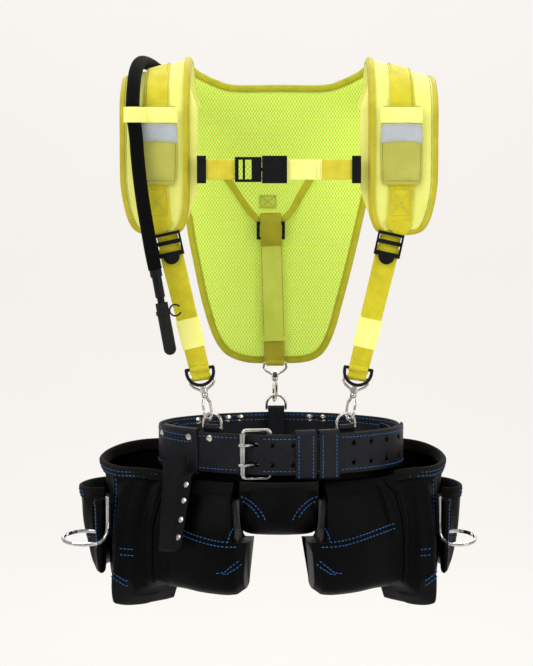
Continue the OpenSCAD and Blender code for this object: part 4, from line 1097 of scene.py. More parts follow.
def centre_profile(x, inset):
    k = 1 - (x / 52) ** 2
    low = -101 + 5 * (abs(x) / 46) ** 8 + inset
    return [(14 + 4 * k - inset, -35), (13.6 + 8 * k - inset, -46), (13 + 15 * k - inset, -64),
            (12 + 18 * k - inset, low + 18), (8 + 12 * k - inset, low + 4), (0, low),
            (BACKING[0] + inset + 3, low + 2), (BACKING[0] + inset, low + 8),
            (BACKING[0] + inset, -50), (BACKING[0] + inset, -34)]


def centre_place(x, q, d, z):
    k = smooth(q / 0.8) * (1 - smooth((q - 4) / 1.0))
    d = d + k * (0.9 * wave(x, z, 0, 19, 4.0) + 0.5 * wave(x * 1.5, z * 0.8, 5, 8, 1.0)
                 - 2.2 * bump(abs(x), 40 - 0.25 * (z + 60), 4))
    return at(front_angle(x), d, z)


centre = Skin(centre_profile, centre_place, 1.0)
_, parts = centre.walls(np.linspace(-46, 46, 64), np.linspace(0, 9, 44), np.linspace(-43, 43, 50))
parts.append(backing_band(front_angle(-45), front_angle(45), 40))
add_mesh("centre_pouch_leather", parts, "bag", ["centre_pouch"])
path, _ = centre.rim(np.linspace(-45, 45, 40))
add_mesh("centre_pouch_binding", [sweep(path, (0, 0, 1), [(a * 0.9, b * 0.8) for a, b in SADDLE])], "suede")
for e in (-1, 1):
    for off in (0, 6.0):
        pts = []
        for k in np.linspace(0, 1, 12):
            a = math.radians(8 + 62 * k)
            x = e * (50 - (34 + off) * math.sin(a) * 0.95)
            z = -92 - off * 0.2 + (34 + off) * math.cos(a) * 1.05
            if abs(x) < 45 and z > -92:
                pts.append((x, centre.q_at(x, z, 0, 4)))
        centre.sew(pts, pitch=4.8, length=3.0)

# Pencil sleeves and hammer-loop plates
PENCIL_X, PENCIL_Y = -229.5, -54.5
SIDES = (("left", 1.0), ("right", -1.0))


def pencil_ring(r, z, wob=0.0):
    radii = [(r + wob * math.sin(3 * a + z / 9), a) for a in circle(24)]
    return [(PENCIL_X + k * math.cos(a), PENCIL_Y + k * math.sin(a), z) for k, a in radii]


for side, flip in SIDES:
    m = np.array([flip, 1, 1])
    rings = [pencil_ring(r, z, 0.25)
             for z, r in ((-158, 3.0), (-156.5, 3.6), (-146, 4.6), (-134, 5.6), (-110, 6.2), (-90, 6.8),
                          (-70, 7.3), (-66, 7.4))]
    rings += [pencil_ring(r, z) for z, r in ((-66, 5.6), (-100, 4.6), (-140, 3.2))]
    parts = [tube([hip(ring, flip) for ring in rings])]
    parts.append(sweep(hip(pencil_ring(6.6, -66.2), flip), (0, 0, 1),
                       [(-1.4, -6), (-1.4, 0), (0, 0.9), (1.4, 0), (1.4, -6), (0, -5)], closed=True))
    tab = [hip(at(199.4, d, -86), flip) for d in (69.4, 74, 79.6)]
    parts.append(sweep(tab, np.array([math.sin(math.radians(19.4)), math.cos(math.radians(19.4)), 0]) * m,
                       rounded(28, 2.0, -1.0, edge=0.8)))
    add_mesh(f"pencil_sleeve_{side}", parts, "bag",
             ["pencil_sleeves"] if side == "left" else ())
    edge_line = []
    for z in np.linspace(-70, -134, 16):
        r = np.interp(z, [-158, -134, -66], [3.6, 5.6, 7.4])
        edge_line.append((PENCIL_X - 0.72 * r, PENCIL_Y - 0.72 * r, z))
    stitch(hip(edge_line, flip), np.array([-0.7, -0.7, 0]) * m, pitch=5.0, length=3.0)
    plate = [hip(at(203.2, 76.1, z), flip) for z in np.linspace(-108, -58, 16)]
    parts = [sweep(plate, out(203.2) * m, rounded(16, 1.5, edge=0.6, steps=4))]
    add_mesh(f"hammer_plate_{side}", parts, "matte",
             ["hammer_brackets"] if side == "left" else ())
    heads = []
    for z in (-67, -81, -99):
        c = hip(at(202.3, 77.65, z), flip)
        n = out(202.3) * m
        e = np.cross((0, 0, 1), n)
        heads.append(tube([[c + n * h + (e * math.cos(a) + np.array([0, 0, 1]) * math.sin(a)) * r
                            for a in circle(20)]
                           for r, h in ((3.0, 0), (3.0, 0.45), (2.6, 0.95), (1.8, 1.25), (1.2, 1.25),
                                        (0.8, 0.95))]))
    add_mesh(f"hammer_rivets_{side}", heads, "nickel")

# ---------------------------------------------------------------- tool sheath and its hanger
SH_TOP, SH_FOOT = np.array([-131.0, -88, -8]), np.array([-138.0, -131, -116])
SH_DIR = unit(SH_FOOT - SH_TOP)
SH_SIDE = unit(np.cross([-0.57, -0.82, 0], SH_DIR))
SH_FRONT = np.cross(SH_DIR, SH_SIDE)
SH_LEN = float(np.linalg.norm(SH_FOOT - SH_TOP))


def sheath(k, u, v):
    """Point k down the sheath, u toward the wearer's centre and v out."""
    return SH_TOP + SH_DIR * k + SH_SIDE * u + SH_FRONT * v


def sheath_ring(k, widths, heights, wob=0.0):
    """Ring of the tube at k; widths and heights are half sizes at its mouth and its foot."""
    hw, ht = (np.interp(k, [0, SH_LEN], ends) for ends in (widths, heights))
    ring = []
    for a in circle(40):
        u, v = hw * math.cos(a), ht * math.sin(a)
        lift = wob * wave(u, k, v, 13, 2.0)
        slant = -3.5 * (u / hw) * (1 - smooth(k / 12))
        ring.append(sheath(k + slant, u * (1 + lift / hw), v * (1 + lift / ht)))
    return ring


sh_rings = [sheath_ring(k, (17, 13), (10, 9), 0.35) for k in np.linspace(0, SH_LEN, 34)]
sh_rings += [sheath_ring(SH_LEN + 0.6, (12.2, 12.2), (8.2, 8.2))]
in_rings = [sheath_ring(k, (14.8, 10.8), (7.8, 6.8)) for k in (1.2, 20, 40, 80, SH_LEN - 3)]
sh_parts = [tube(sh_rings, False), cap(sh_rings[-1]), tube(in_rings, False), cap(in_rings[-1]),
            tube([in_rings[0], sh_rings[0]], False)]
flange = []
for k in np.linspace(24, SH_LEN - 0.3, 30):
    ends = min(k - 24, SH_LEN - 0.3 - k)
    far = 33 - k / 10 - 7 * (1 - math.sqrt(max(0.0, 1 - (1 - min(1, ends / 7)) ** 2)))
    flange.append([sheath(k, u, v) for u, v in ((10, 0.1), (far - 0.6, 0.1), (far, 0.8), (far, 2.2),
                                                (far - 0.6, 2.9), (14.5 + far / 12, 3.1), (10, 4.2))])
sh_parts.append(tube(flange))
add_mesh("sheath_leather_tube", sh_parts, "matte", ["tool_sheath"])

HANG = (-152.0, -122.0)
pts, ups = corner_loop(-0.35, 4.55, -26.5, 26.5, 2.0)
thick = [3.0 if p[1] > 2 else 2.8 for p in pts]
v, f, s = sweep(pts, ups, rounded(30, 1.0, edge=0.35, steps=10), closed=True, thicks=thick)
mid = sum(HANG) / 2


def hang_map(v):
    """The hanger's loop bent round the belt, with its ends bowed."""
    rows = []
    for x, d, z in v:
        end = 1.2 * math.cos(z / 30 * 1.4) * smooth(x / 12)
        rows.append(at(mid + (x + end * 0.6), d, z))
    return np.array(rows)


add_mesh("sheath_hanger_loop", [(hang_map(v), f, s)], ["belt", "edge"], ["sheath_hanger"],
         face_mats=edge_mats(s, f, 15, 0.3))
for z in (21.5, 13.5):
    xs = np.linspace(-13.5, 12.6, 20)
    stitch([hang_map([(x, 7.55, z - 2.0 * (x + 15) / 30)])[0] for x in xs], [out(mid + x) for x in xs],
           pitch=5.2)
stitch([hang_map([(12.6, 7.55, z)])[0] for z in np.linspace(21, 11, 4)], out(mid + 12.6), pitch=4.4)

# flap that runs down from the hanger to the front of the sheath
FLAP_ANGLE = -126.8
FLAP = [(8.0, -18), (8.6, -27), (12.5, -31), (20.5, -40), (28, -51), (34.5, -63), (38.8, -76.5)]
path = spline([(0, d, z) for d, z in FLAP], 3)
v, f, s = sweep(path, (0, 0.75, 0.65), rounded(30, 2.2, -1.1, edge=0.8, steps=8),
                widths=[0.98 - 0.12 * smooth(k / len(path)) for k in range(len(path))])
v = np.array([at(FLAP_ANGLE + math.degrees(x / (BIG_R + d + 4)), d, z) for x, d, z in v])
add_mesh("sheath_hanger_flap", [(v, f, s)], "belt")

# ---------------------------------------------------------------- shoulder pads
PAD_HALF = 41.0
PAD_FRONT = [(-88, 277, 21), (-87.9, 280, 27), (-87.8, 284, 30.5), (-87.5, 298, 36), (-87, 325, 40),
             (-86.5, 360, 41), (-86, 392, 41)]


def pad_stations():
    """(y, z, normal, lean, half width) from the front foot over the shoulder."""
    front = spline(PAD_FRONT, 4.0)
    rows = [(y, z, np.array([0, -1.0, 0]), 0.0, w) for y, z, w in front]
    a = (ARCH_BACK - ARCH_FRONT) / 2
    for f in np.linspace(0, 165, 62):
        c, s = math.cos(math.radians(f)), math.sin(math.radians(f))
        rows.append(((ARCH_BACK + ARCH_FRONT) / 2 - a * c, ARCH_Z + ARCH_TOP * s,
                     unit([0, -c / a, s / ARCH_TOP]), s, PAD_HALF))
    return rows


def pad_point(s, u, h):
    """Point at station s, u across from the pad's middle and h out of its face."""
    slope = (PAD_HALF - u) * 0.28 * s[3]
    x = -PAD_X + 4 * max(0, (340 - s[1]) / 60) + u
    return np.array([x, s[0] + s[2][1] * h, s[1] + s[2][2] * h - slope])


def pad_inner(s):
    """Neck edge of the soft liner, which shows beside the panel on the chest and fades over the shoulder."""
    return s[4] + 3.2 + 9.8 * smooth((s[1] - 290) / 50) * (1 - smooth((s[3] - 0.1) / 0.5))


def closed_spline(pts, per):
    """Closed smooth curve through pts, with per points to each stretch."""
    p = np.asarray(pts, float)
    n, made = len(p), []
    for i in range(n):
        a, b, c, d = p[(i - 1) % n], p[i], p[(i + 1) % n], p[(i + 2) % n]
        made += [catmull(a, b, c, d, k / per) for k in range(per)]
    return made


PAD_ST, WEB_FACE = pad_stations(), 2.75


def pad_section(s, seed):
    """Outline of the pad at station s, with puffed edges and a dip under the webbing."""
    w, inner = s[4], pad_inner(s)
    web_dip = 0.5 * (1 if 283 < s[1] else 0)
    puff = 0.7 * wave(0, s[0], s[1], 21, seed)
    raw = [(-w - 0.5, -4.5), (-w + 4, -0.6), (-w * 0.62, 0.9 + puff), (-w * 0.30, -0.1 - web_dip),
           (w * 0.10, -0.2 - web_dip), (w * 0.42, 0.0), (w * 0.62, 1.0 + puff * 0.7), (w - 5, 0.0),
           (w + 1, -2.6), (w + 0.4 * (inner - w), -3.4), (w + 0.75 * (inner - w), -4.2), (inner, -6.5),
           (inner - 3, -9.6), (w * 0.6, -PAD_T), (0, -PAD_T + 0.2 * puff), (-w * 0.5, -PAD_T),
           (-w + 4, -8.8)]
    return closed_spline([(u, h, 0) for u, h in raw], 3)


def lay_pad(side, flip, seed):
    """Shoulder pad with its binding, webbing and stitching."""
    m = np.array([flip, 1.0, 1.0])
    rows = [[pad_point(s, u, h) for u, h, _ in pad_section(s, seed)] for s in PAD_ST]
    first = np.mean(rows[0], axis=0)
    rows = [[first + (p - first) * 0.82 + np.array([0, 0, -1.6]) for p in rows[0]]] + rows
    pad = add_mesh(f"shoulder_pad_{side}_foam", [tube(np.array(rows) * m)], "pad",
                   [f"shoulder_pad_{side}"])
    # golden binding round the outer edge, the foot and the neck edge of the padded panel
    outer = [pad_point(s, -s[4] - 0.4, -4.4) for s in PAD_ST]
    ups_o = [unit(pad_point(s, -s[4] - 1.4, -4.4) - pad_point(s, -s[4] + 4, -4.6)) for s in PAD_ST]
    inner = [pad_point(s, s[4] + 1.0, -1.6) for s in PAD_ST]
    ups_n = [unit(pad_point(s, s[4] + 2, -1.2) - pad_point(s, s[4] - 4, -2.4)) for s in PAD_ST]
    foot = PAD_ST[0]
    arc = [pad_point(foot, u, -4.8) + np.array([0, 0, -2.2 * (1 - (u / 22) ** 2)])
           for u in np.linspace(-19, 19, 9)]
    tape = [(-6.2, -4.6), (-6.0, -1), (-4.9, 1.0), (-2, 1.9), (2, 1.9), (4.9, 1.0), (6.0, -1), (6.2, -4.6),
            (4.6, -4.6), (0, -3.2), (-4.6, -4.6)]
    edge_pts = np.array(outer[::-1][:-1] + arc + inner[1:])
    edge_ups = np.array(ups_o[::-1][:-1] + [unit([u, 0, -14]) for u in np.linspace(-19, 19, 9)] + ups_n[1:])
    loop = spline(edge_pts, 4)
    ups = [edge_ups[int(np.argmin(np.linalg.norm(edge_pts - p, axis=1)))] for p in loop]
    v, f, s = sweep(loop, ups, [(a * 0.92, b) for a, b in tape])
    add_mesh(f"shoulder_pad_{side}_binding", [(v * m, f, s)], "binding")
    # webbing over the pad
    web = [(LOCK_AT - STRAP_DIR * 17 + np.array([0, 0.6, 0]), np.array([0, -1.0, 0]))]
    for s in PAD_ST:
        if s[1] > 284 or s[3] > 0:
            a, b = pad_point(s, 2 - WEB_W / 2, 0.9), pad_point(s, 2 + WEB_W / 2, 0.9)
            web.append(((a + b) / 2, s[2]))
    src = np.array([w[0] for w in web])
    pts = spline(src, 4)
    ups = [web[int(np.argmin(np.linalg.norm(src - p, axis=1)))][1] for p in pts]
    ups = np.array([unit(np.mean(ups[max(0, i - 2):i + 3], axis=0) + np.array([-0.27, 0, 0]) * max(0, u[2]))
                    for i, u in enumerate(ups)])
    wid = [0.95 if p[2] < 284 and p[1] < 0 else 1.0 for p in pts]
    v, f, s = sweep(pts, ups, rounded(WEB_W, WEB_T, edge=0.7, steps=8), widths=wid)
    add_mesh(f"pad_webbing_{side}_strap", [(v * m, f, s)], "gold", [f"pad_webbing_{side}"])
    # box and cross stitching under the pocket, rows along the strap over the shoulder
    box = [(-10, 330), (-10, 298), (14, 298), (14, 330), (-10, 330)]
    cross = [(-10, 298), (14, 330)], [(-10, 330), (14, 298)]

    def face(u, z):
        s = min((q for q in PAD_ST if q[3] == 0), key=lambda q: abs(q[1] - z))
        p = pad_point(s, u, WEB_FACE)
        return np.array([p[0], p[1], z]) * m

    for line in (box,) + cross:
        pp = []
        for (u0, z0), (u1, z1) in zip(line, line[1:]):
            pp += [face(u0 + (u1 - u0) * k / 8, z0 + (z1 - z0) * k / 8) for k in range(9)]
        stitch(pp, (0, -1, 0), kind="pale_thread", pitch=3.0, length=2.2, r=0.4)
    over = [s for s in PAD_ST if s[1] > 440 or s[3] > 0]
    for u in (2 - 12.2, 2 + 12.2):
        stitch([pad_point(s, u, WEB_FACE) * m for s in over], [s[2] for s in over], **ROW_DARK)
    stitch([pad_point(s, -s[4] + 6.6, 0.1) * m for s in PAD_ST], [s[2] for s in PAD_ST], **ROW_DARK)


for side, flip, seed in (("left", 1.0, 1.0), ("right", -1.0, 4.0)):
    lay_pad(side, flip, seed)


# Pockets on the pads: a puffed fabric body, a reflective strip and a fluorescent elastic band
POCKET_X, BAND_Z = -152, 422


def pocket_w(z):
    """Half width of the pocket at height z."""
    return float(np.interp(z, [336, 344, 380, 412, 434], [23, 26, 27, 25.5, 22.5]))


def pocket_y(u, z, lift):
    """Front face of the pocket, crowned across, u from its middle."""
    t = float(np.interp(z, [336, 346, 380, 412, 434], [3.4, 6, 7.6, 7.4, 5.0]))
    crown = 1 - min(1.0, abs(u) / pocket_w(z)) ** 5
    return ARCH_FRONT - 3.6 - 1.3 - (t - 0.6) * crown - lift


def pocket_sheet(zs, trim, lift, seed, crease):
    return [[(POCKET_X + u, pocket_y(u, z, lift) - crease * wave(u, 0, z, 11, seed), z)
             for u in np.linspace(trim - pocket_w(z), pocket_w(z) - trim, 30)] for z in zs]


def thick_sheet(rows, depth):
    """A sheet with its edges turned back by depth."""
    a = np.array(rows, float)
    back_ = a + np.array([0, depth, 0])
    r, n = len(rows), len(rows[0])
    loop_idx = [(0, j) for j in range(n)] + [(i, n - 1) for i in range(1, r)] \
        + [(r - 1, j) for j in range(n - 2, -1, -1)] + [(i, 0) for i in range(r - 2, 0, -1)]
    ring = [[a[i][j] for i, j in loop_idx], [back_[i][j] for i, j in loop_idx]]
    return [open_grid(rows), tube(ring, False)]


def pocket_piece(name, parts, mat, replaces=()):
    """A mirrored piece of a pocket, with its place on the pocket as the strap lengths."""
    add_mesh(name, [(v * m, f, np.column_stack([v[:, 0] - POCKET_X, v[:, 2] - BAND_Z, np.zeros(len(v))]))
                    for v, f, _ in parts], mat, replaces)


for side, flip, seed in (("left", 1.0, 3.0), ("right", -1.0, 6.0)):
    m = np.array([flip, 1.0, 1.0])
    body = pocket_sheet(np.linspace(336.5, 433, 40), 0, 0, seed, 0.35)
    pocket_piece(f"pad_pocket_{side}_body", thick_sheet(body, 4.4), "pocket", [f"pad_pocket_{side}"])
    strip = [[(x, y - 0.2, z - 2.2 * abs(x - POCKET_X) / 26 + 1.2) for x, y, z in row]
             for row in pocket_sheet(np.linspace(389, 411, 12), 0.6, 0.9, seed, 0.2)]
    pocket_piece(f"pad_pocket_{side}_reflective", thick_sheet(strip, 1.2), "reflective")
    for z in (391.0, 409.0):
        line = [(POCKET_X + u, pocket_y(u, z, 1.6), z - 2.2 * abs(u) / 26 + 1.2)
                for u in np.linspace(-25, 25, 24)]
        stitch(np.array(line) * m, (0, -1, 0), **FINE_PALE)
    for e in (-1, 1):
        line = [(POCKET_X + e * (pocket_w(z) - 3), pocket_y(pocket_w(z) - 3, z, 0.3), z)
                for z in np.linspace(340, 388, 20)]
        stitch(np.array(line) * m, (0, -1, 0), **FINE_DARK, r=0.32)
    line = [(POCKET_X + u, pocket_y(u, 341, 0.3), 341) for u in np.linspace(-20, 20, 18)]
    stitch(np.array(line) * m, (0, -1, 0), **FINE_DARK, r=0.32)
    # elastic band across the top of the pocket; on the left it also holds the hose
    run = [(POCKET_X + u, pocket_y(u, BAND_Z, 1.4)) for u in np.linspace(26, -14, 16)]
    if side == "left":
        run += [(-167.4, -101.6), (-169.2, -108), (-172.5, -114), (-178.5, -117), (-184.6, -115.3),
                (-188.9, -110.6), (-190, -103.5), (-188.5, -96.5), (-186.5, -90)]
    else:
        run += [(POCKET_X + u, pocket_y(u, BAND_Z, 1.4)) for u in (-18, -22, -25)]
    run = spline([(x, y, BAND_Z) for x, y in run], 3)
    nn = np.gradient(run, axis=0)
    nn = np.array([unit([-d[1], d[0], 0]) for d in nn])
    if nn[0][1] > 0:
        nn = -nn
    v, f, s = sweep(run, nn, rounded(19, 1.3, edge=0.5, steps=8))
    add_mesh(f"pad_band_{side}", [(v * m, f, s)], "elastic")

# ---------------------------------------------------------------- lower straps, with a fluorescent sleeve
def lerp(a, b, k):
    return a + (b - a) * k


for side, flip in SIDES:
    m = np.array([flip, 1.0, 1.0])
    top = LOCK_AT + STRAP_DIR * 4 + np.array([0, 2.4, 0])
    foot = np.array([HOOK_PIN[0] - 1.4, -85.0, 101.0])
    pts = [lerp(top, foot, k) for k in np.linspace(0, 1, 70)]
    pts = np.array([p + np.array([0, -0.5 * math.sin(k / 70 * math.pi * 3), 0]) for k, p in enumerate(pts)])
    wid = [lerp(WEB_W - 1, CHEST_W, k) / WEB_W for k in np.linspace(0, 1, 70)]
    parts = [sweep(pts, (0, -1, 0), rounded(WEB_W, 2.2, edge=0.8, steps=8), widths=wid)]
    # the webbing goes round the hook's pin and round its own bar
    tilt = STRAP_ANGLE - math.radians(4)
    across = np.cross([math.cos(tilt), 0, math.sin(tilt)], (0, 1, 0))
    for centre, r0, r1, w in ((HOOK_PIN, 2.15, 3.8, 23), (FLIP_BAR, 2.45, 3.8, 24)):
        ring = [centre + r0 * (np.array([0, -math.cos(a), 0]) + across * math.sin(a))
                for a in np.radians(np.linspace(-40, 320, 32))]
        parts.append(sweep(ring, [unit(p - centre) for p in ring], rounded(w, r1 - r0, edge=0.5, steps=6)))
    link = [np.array([lerp(HOOK_PIN[0], FLIP_BAR[0], k), -84.7, lerp(94, 104, k)])
            for k in np.linspace(0, 1, 5)]
    parts.append(sweep(link, (0, -1, 0), rounded(23, 1.9, -0.4, edge=0.6, steps=6)))
    add_mesh(f"lower_strap_{side}_webbing", [(v * m, f, s) for v, f, s in parts], "gold",
             [f"lower_strap_{side}"])
    k0, k1 = 0.57, 0.80
    cover = [lerp(top, foot, k) + np.array([0, 0.4, 0]) for k in np.linspace(k0, k1, 16)]
    wid = [(lerp(WEB_W - 1, CHEST_W, k) + 3.2) / WEB_W for k in np.linspace(k0, k1, 16)]
    v, f, s = sweep(cover, (0, -1, 0), rounded(WEB_W, 4.0, edge=1.2, steps=8), widths=wid)
    add_mesh(f"lower_strap_{side}_sleeve", [(v * m, f, s)], "elastic")
    for k in (0.90, 0.955):
        c = lerp(top, foot, k)
        half = lerp(WEB_W - 1, CHEST_W, k) / 2 - 2
        line = [c + STRAP_ACROSS * a + np.array([0, -2.25, 0]) for a in np.linspace(-half, half, 10)]
        stitch(np.array(line) * m, (0, -1, 0), **FINE_DARK, r=0.35)

for side, flip in SIDES:
    line = [LOCK_AT + STRAP_DIR * k + np.array([0, 1.8, 0]) for k in np.linspace(-16, 12, 12)]
    v, f, s = sweep(line, (0, -1, 0), rounded(26, 1.5, edge=0.5, steps=6))
    add_mesh(f"ladder_lock_{side}_webbing", [(v * (flip, 1.0, 1.0), f, s)], "gold")

# Chest strap: golden webbing, with an elastic part on the right
chest = {"chest_strap_left": (-90, -55, "gold25"), "chest_strap_elastic": (10.5, 53, "elastic"),
         "chest_strap_right": (49, 90, "gold25")}
for name, (x0, x1, mat) in chest.items():
    xs = np.linspace(x0, x1, 24)
    lift = 0.5 if mat == "elastic" else 0.0
    line = [(x, CHEST_Y + 1.8 - lift - 0.5 * math.sin((x - x0) / (x1 - x0) * math.pi), CHEST_Z) for x in xs]
    wob = [1 + 0.012 * math.sin(x * 0.35) for x in xs]
    strap = sweep(line, (0, -1, 0), rounded(CHEST_W, 1.9, edge=0.8, steps=8), widths=wob)
    add_mesh(name, [strap], mat, ["chest_webbing"] if name == "chest_strap_left" else (),
             "chest")
for x in (51.5, 46.5):
    stitch([(x, CHEST_Y - 1.0, z) for z in np.linspace(CHEST_Z - 11, CHEST_Z + 11, 9)], (0, -1, 0),
           body="chest", **FINE_PALE)

# ---------------------------------------------------------------- back panel
PANEL_EDGE = [(121, 490), (128, 455), (133, 420), (130, 360), (123, 280), (112, 220), (103, 178), (91, 138),
              (80, 116), (66, 103), (40, 95)]
NECK = [(60, 466), (85, 473), (104, 482)]
PANEL_RIGHT = [(121, 490), (128, 455), (133, 420), (127, 360), (110, 280), (96, 220), (85, 178), (74, 138),
               (62, 112), (48, 100), (28, 95)]
TOP = [(0, 466), (40, 466), (60, 466.5), (85, 473), (104, 482), (121, 490), (128, 455), (133, 421)]


def z_bottom(x):
    low = (PANEL_RIGHT if x > 0 else PANEL_EDGE)[2:][::-1]
    return float(np.interp(abs(x), [0] + [p[0] for p in low], [95] + [p[1] for p in low]))


def z_top(x):
    return float(np.interp(abs(x), [p[0] for p in TOP], [p[1] for p in TOP]))


def panel_rows(y0, sign, puff):
    """One puffed face of the back panel."""
    xs = [133 * math.sin(a) for a in np.linspace(-math.pi / 2, math.pi / 2, 75)]
    rows = []
    for x in xs:
        zb, zt = z_bottom(x), z_top(x)
        row = []
        for k in np.linspace(0, 1, 90):
            z = zb + (zt - zb) * k
            edge = min(1.0, (133 - abs(x)) / 14, (z - zb) / 14 + 0.02, (zt - z) / 14 + 0.02)
            h = puff * math.sqrt(max(0.0, edge)) + 0.35 * wave(x, 0, z, 43, sign) * edge
            row.append((x, y0 + sign * h, z))
        rows.append(row)
    return rows


mid_y = PANEL_Y + PANEL_T / 2
panel = add_mesh("back_panel_mesh", [open_grid(panel_rows(mid_y - 1.2, -1, 4.2)),
                                     open_grid(panel_rows(mid_y + 1.2, 1, 4.2))],
                 "mesh", ["back_panel"])
outline = (PANEL_RIGHT + [(0, 94.5)] + [(-x, z) for x, z in PANEL_EDGE[::-1]]
           + [(-x, z) for x, z in NECK[::-1]] + [(0, 466)] + NECK)
edge_loop = np.array(closed_spline([(x, mid_y, z) for x, z in outline], 7))
d_loop = np.roll(edge_loop, -1, 0) - np.roll(edge_loop, 1, 0)
ups = np.array([unit([d[2], 0, -d[0]]) for d in d_loop])
quarter = len(edge_loop) // 4
if np.dot(ups[quarter], edge_loop[quarter] - np.array([0, mid_y, 300.0])) < 0:
    ups = -ups
TAPE = [(-5.6, -8.5), (-5.7, -3), (-4.6, 0.1), (-2, 1.6), (2, 1.6), (4.6, 0.1), (5.7, -3), (5.6, -8.5),
        (3.8, -8.5), (3.6, -3), (-3.6, -3), (-3.8, -8.5)]
v, f, s = sweep(edge_loop, ups, TAPE, closed=True)
s[:, 1] = s[:, 2] + 3.4
add_mesh("back_panel_binding", [(v, f, s)], "lime_binding")
stitch(edge_loop - ups * 6.3 + np.array([0, -5.6, 0]), (0, -1, 0), **ROW_DARK)

# Yoke: golden tapes that run down from the neck to the top of the rear strap, and a sewn patch
FACE_Y = PANEL_Y + 0.2
YOKE = [(-86, 366), (-70, 343), (-55, 321), (-39, 298), (-23, 284), (-11, 281), (1.4, 284), (17.6, 300),
        (28, 319), (40.5, 340), (52, 362)]
YOKE_LOW = min(z for _, z in YOKE)


def yoke_y(x):
    """The yoke stands proud of the panel over the rear strap and runs back to it on both sides."""
    return FACE_Y - 5.2 + 4.2 * smooth((abs(x + 12) - 17) / 22)


yoke_line = np.array([(x, yoke_y(x), z) for x, _, z in spline([(x, 0, z) for x, z in YOKE], 3)])
add_mesh("yoke_tape", [sweep(yoke_line, (0, -1, 0), rounded(9, 1.4, edge=0.6, crown=0.4))], "lime_binding")
low_half = int(np.argmin(yoke_line[:, 2]))
rows = []
for z in np.linspace(YOKE_LOW + 2.5, 362, 26):
    x0 = float(np.interp(-z, -yoke_line[:low_half, 2], yoke_line[:low_half, 0]))
    x1 = float(np.interp(z, yoke_line[low_half:, 2], yoke_line[low_half:, 0]))
    rows.append([(x, yoke_y(x) + 0.3, z) for x in np.linspace(x0, x1, 26)])
add_mesh("yoke_panel", thick_sheet(rows, 3.6), "mesh")
rows = [[(x, FACE_Y - 5.9 - 0.3 * wave(x, 0, z, 12, 1), z) for x in np.linspace(-27, -3, 16)]
        for z in np.linspace(302, 321, 10)]
add_mesh("yoke_patch", thick_sheet(rows, 1.2), "cover")
patch_corners = ((-25, 319), (-5, 319), (-5, 304), (-25, 304))
patch_lines = [(patch_corners[k], patch_corners[(k + 1) % 4]) for k in range(4)]
for p, q in patch_lines + [(patch_corners[0], patch_corners[2]), (patch_corners[1], patch_corners[3])]:
    stitch([(lerp(p[0], q[0], k), FACE_Y - 6.6, lerp(p[1], q[1], k)) for k in np.linspace(0, 1, 12)],
           (0, -1, 0), **FINE_DARK, r=0.32)

# Rear strap, its cover, and the reservoir sleeve behind the panel
pts = [lerp(REAR_TOP, REAR_FOOT + np.array([0, 0, 2]), k) for k in np.linspace(0, 1, 60)]
# the webbing comes forward over the bars of the rear slide
pts = [p - np.array([0, 7.6 * (1 - smooth((abs(p[2] - 273) - 12) / 12)), 0]) for p in pts]
parts = [sweep(pts, (0, -1, 0), rounded(28, 1.9, edge=0.8, steps=8))]
ring = [REAR_HOOK + 2.15 * np.array([0, -math.cos(a), math.sin(a)])
        for a in np.radians(np.linspace(-60, 300, 32))]
parts.append(sweep(ring, [unit(p - REAR_HOOK) for p in ring], rounded(24, 1.6, edge=0.5, steps=6)))
add_mesh("rear_strap_webbing", parts, "olive", ["rear_strap"])
pts = []
for z in np.linspace(258, 124, 60):
    k = (REAR_TOP[2] - z) / (REAR_TOP[2] - REAR_FOOT[2])
    c = lerp(REAR_TOP, REAR_FOOT, k)
    pts.append((c[0], c[1] + 1.6, z))
wob = [1 + 0.03 * wave(0, 0, p[2], 9, 2) for p in pts]
thk = [1 + 0.10 * wave(3, 0, p[2], 7, 5) for p in pts]
cover = sweep(pts, (0, -1, 0), rounded(34, 5.0, edge=1.9, steps=10, crown=0.4), widths=wob, thicks=thk)
add_mesh("rear_strap_cover", [cover], "cover", ["strap_cover"])
for e in (-1, 1):
    stitch([(p[0] + e * 13.5, p[1] - 5.35, p[2]) for p in pts[2:-2]], (0, -1, 0), **ROW_DARK)

# Reservoir sleeve: height, half width and depth
SLEEVE_ROWS = [(128, 44, 6), (138, 58, 20), (180, 72, 30), (260, 90, 34), (340, 101, 34), (412, 102, 31)]
SLEEVE_Y = PANEL_Y + PANEL_T + 0.3


def sleeve_row(z, inset=0.0):
    w, dep = (table_at([r[0] for r in SLEEVE_ROWS], [r[k] for r in SLEEVE_ROWS], z) - inset for k in (1, 2))
    row = []
    for k in np.linspace(1, -1, 60):
        c = math.copysign(abs(math.sin(k * math.pi / 2)), k)
        h = dep * max(0.0, 1 - c * c) ** 0.45
        soft = 1.0 * wave(w * c, 0, z, 31, 3) * (1 - c * c) + 0.6 * math.sin(c * 15 + z * 0.02) * (1 - c * c)
        row.append((w * c, SLEEVE_Y + h + soft * (1 if inset == 0 else 0), z))
    return row


zs = np.concatenate([np.linspace(128, 140, 7), np.linspace(144, 412, 60)])
outer = [sleeve_row(z) for z in zs]
inner = [sleeve_row(z, 2.4) for z in zs[3:]]
add_mesh("reservoir_sleeve_shell", [open_grid(outer), open_grid(inner), cap(outer[0]),
                                    open_grid([outer[-1], inner[-1]])], "sleeve",
         ["reservoir_sleeve"])
hem = np.array(outer[-1]) + np.array([0, -0.9, 0])
v, f, s = sweep(hem[2:-2], (0, 0, 1), [(a * 0.62, b) for a, b in TAPE])
s[:, 1] = s[:, 2] + 3.4
add_mesh("reservoir_sleeve_hem", [(v, f, s)], "lime_binding")
for side, end in (("right", 0), ("left", -1)):
    edge = np.array([row[end] for row in outer[1:]]) + np.array([0, 1.0, 0])
    tape = sweep(spline(edge[::4], 5), (0, 1, 0), rounded(9, 1.6, edge=0.7, steps=4))
    add_mesh(f"reservoir_sleeve_tape_{side}", [tape], "lime_binding")
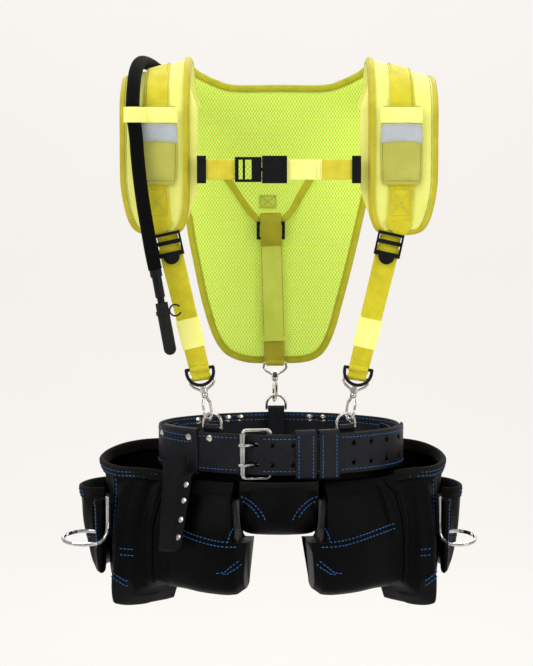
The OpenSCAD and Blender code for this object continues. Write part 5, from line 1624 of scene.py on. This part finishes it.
mid_band = [sleeve_row(z) for z in np.linspace(300, 323, 8)]
rows = [[(x, y + 1.1, z) for x, y, z in row[3:-3]] for row in mid_band]
add_mesh("reservoir_sleeve_reflective", [open_grid(rows)], "reflective")

# ---------------------------------------------------------------- stage and light
FLOOR_Z, BACK_Y = -0.75, 3.3
floor_profile = [(-3.6, FLOOR_Z)] + [(BACK_Y - 0.8 + 0.8 * math.sin(a), FLOOR_Z + 0.8 - 0.8 * math.cos(a))
                                     for a in np.linspace(0, math.pi / 2, 12)] + [(BACK_Y, 3.5)]
fv = [(x * 1000, y * 1000, z * 1000) for x in (-5.0, 5.0) for y, z in floor_profile]
n = len(floor_profile)
paper = Nodes("paper", 0.9, Specular_IOR_Level=0.1)
paper.color(paper.ramp(paper.noise(3, 2), [(0.3, (0.27, 0.262, 0.252)), (0.7, (0.275, 0.267, 0.257))]))
paper.bsdf.inputs["Emission Color"].default_value = (1.0, 0.965, 0.93, 1)
paper.bsdf.inputs["Emission Strength"].default_value = 0.64
M["paper"] = paper.mat
floor = build("floor_sweep", fv, [(i, i + 1, n + i + 1, n + i) for i in range(n - 1)], "paper")

world = bpy.data.worlds.new("studio")
world.use_nodes = True
world.node_tree.nodes["Background"].inputs[0].default_value = (0.97, 0.985, 1.0, 1)
world.node_tree.nodes["Background"].inputs[1].default_value = 0.42
bpy.context.scene.world = world


def area(name, place, aim, size, watts):
    data = bpy.data.lights.new(name, "AREA")
    data.shape, data.size, data.size_y, data.energy = "RECTANGLE", size[0], size[1], watts
    lamp = bpy.data.objects.new(name, data)
    bpy.context.scene.collection.objects.link(lamp)
    lamp.location = place
    lamp.rotation_mode = "QUATERNION"
    lamp.rotation_quaternion = (Vector(aim) - Vector(place)).to_track_quat("-Z", "Y")


area("key_left", (-1.5, -1.5, 1.7), (0, 0, 0.1), (1.2, 1.6), 26)
area("fill_right", (1.7, -1.3, 0.9), (0, 0, 0.1), (1.2, 1.8), 16)
area("top", (0, 0.0, 2.2), (0, 0, 0.2), (1.8, 1.4), 16)
area("rear_soft", (0.4, 2.0, 1.5), (0, 0, 0.15), (1.6, 1.4), 14)
area("backdrop", (0, 1.9, 3.0), (0, 3.3, 0.4), (3.2, 0.6), 55)
bpy.context.scene.view_settings.view_transform = "Standard"

lay_stitches()
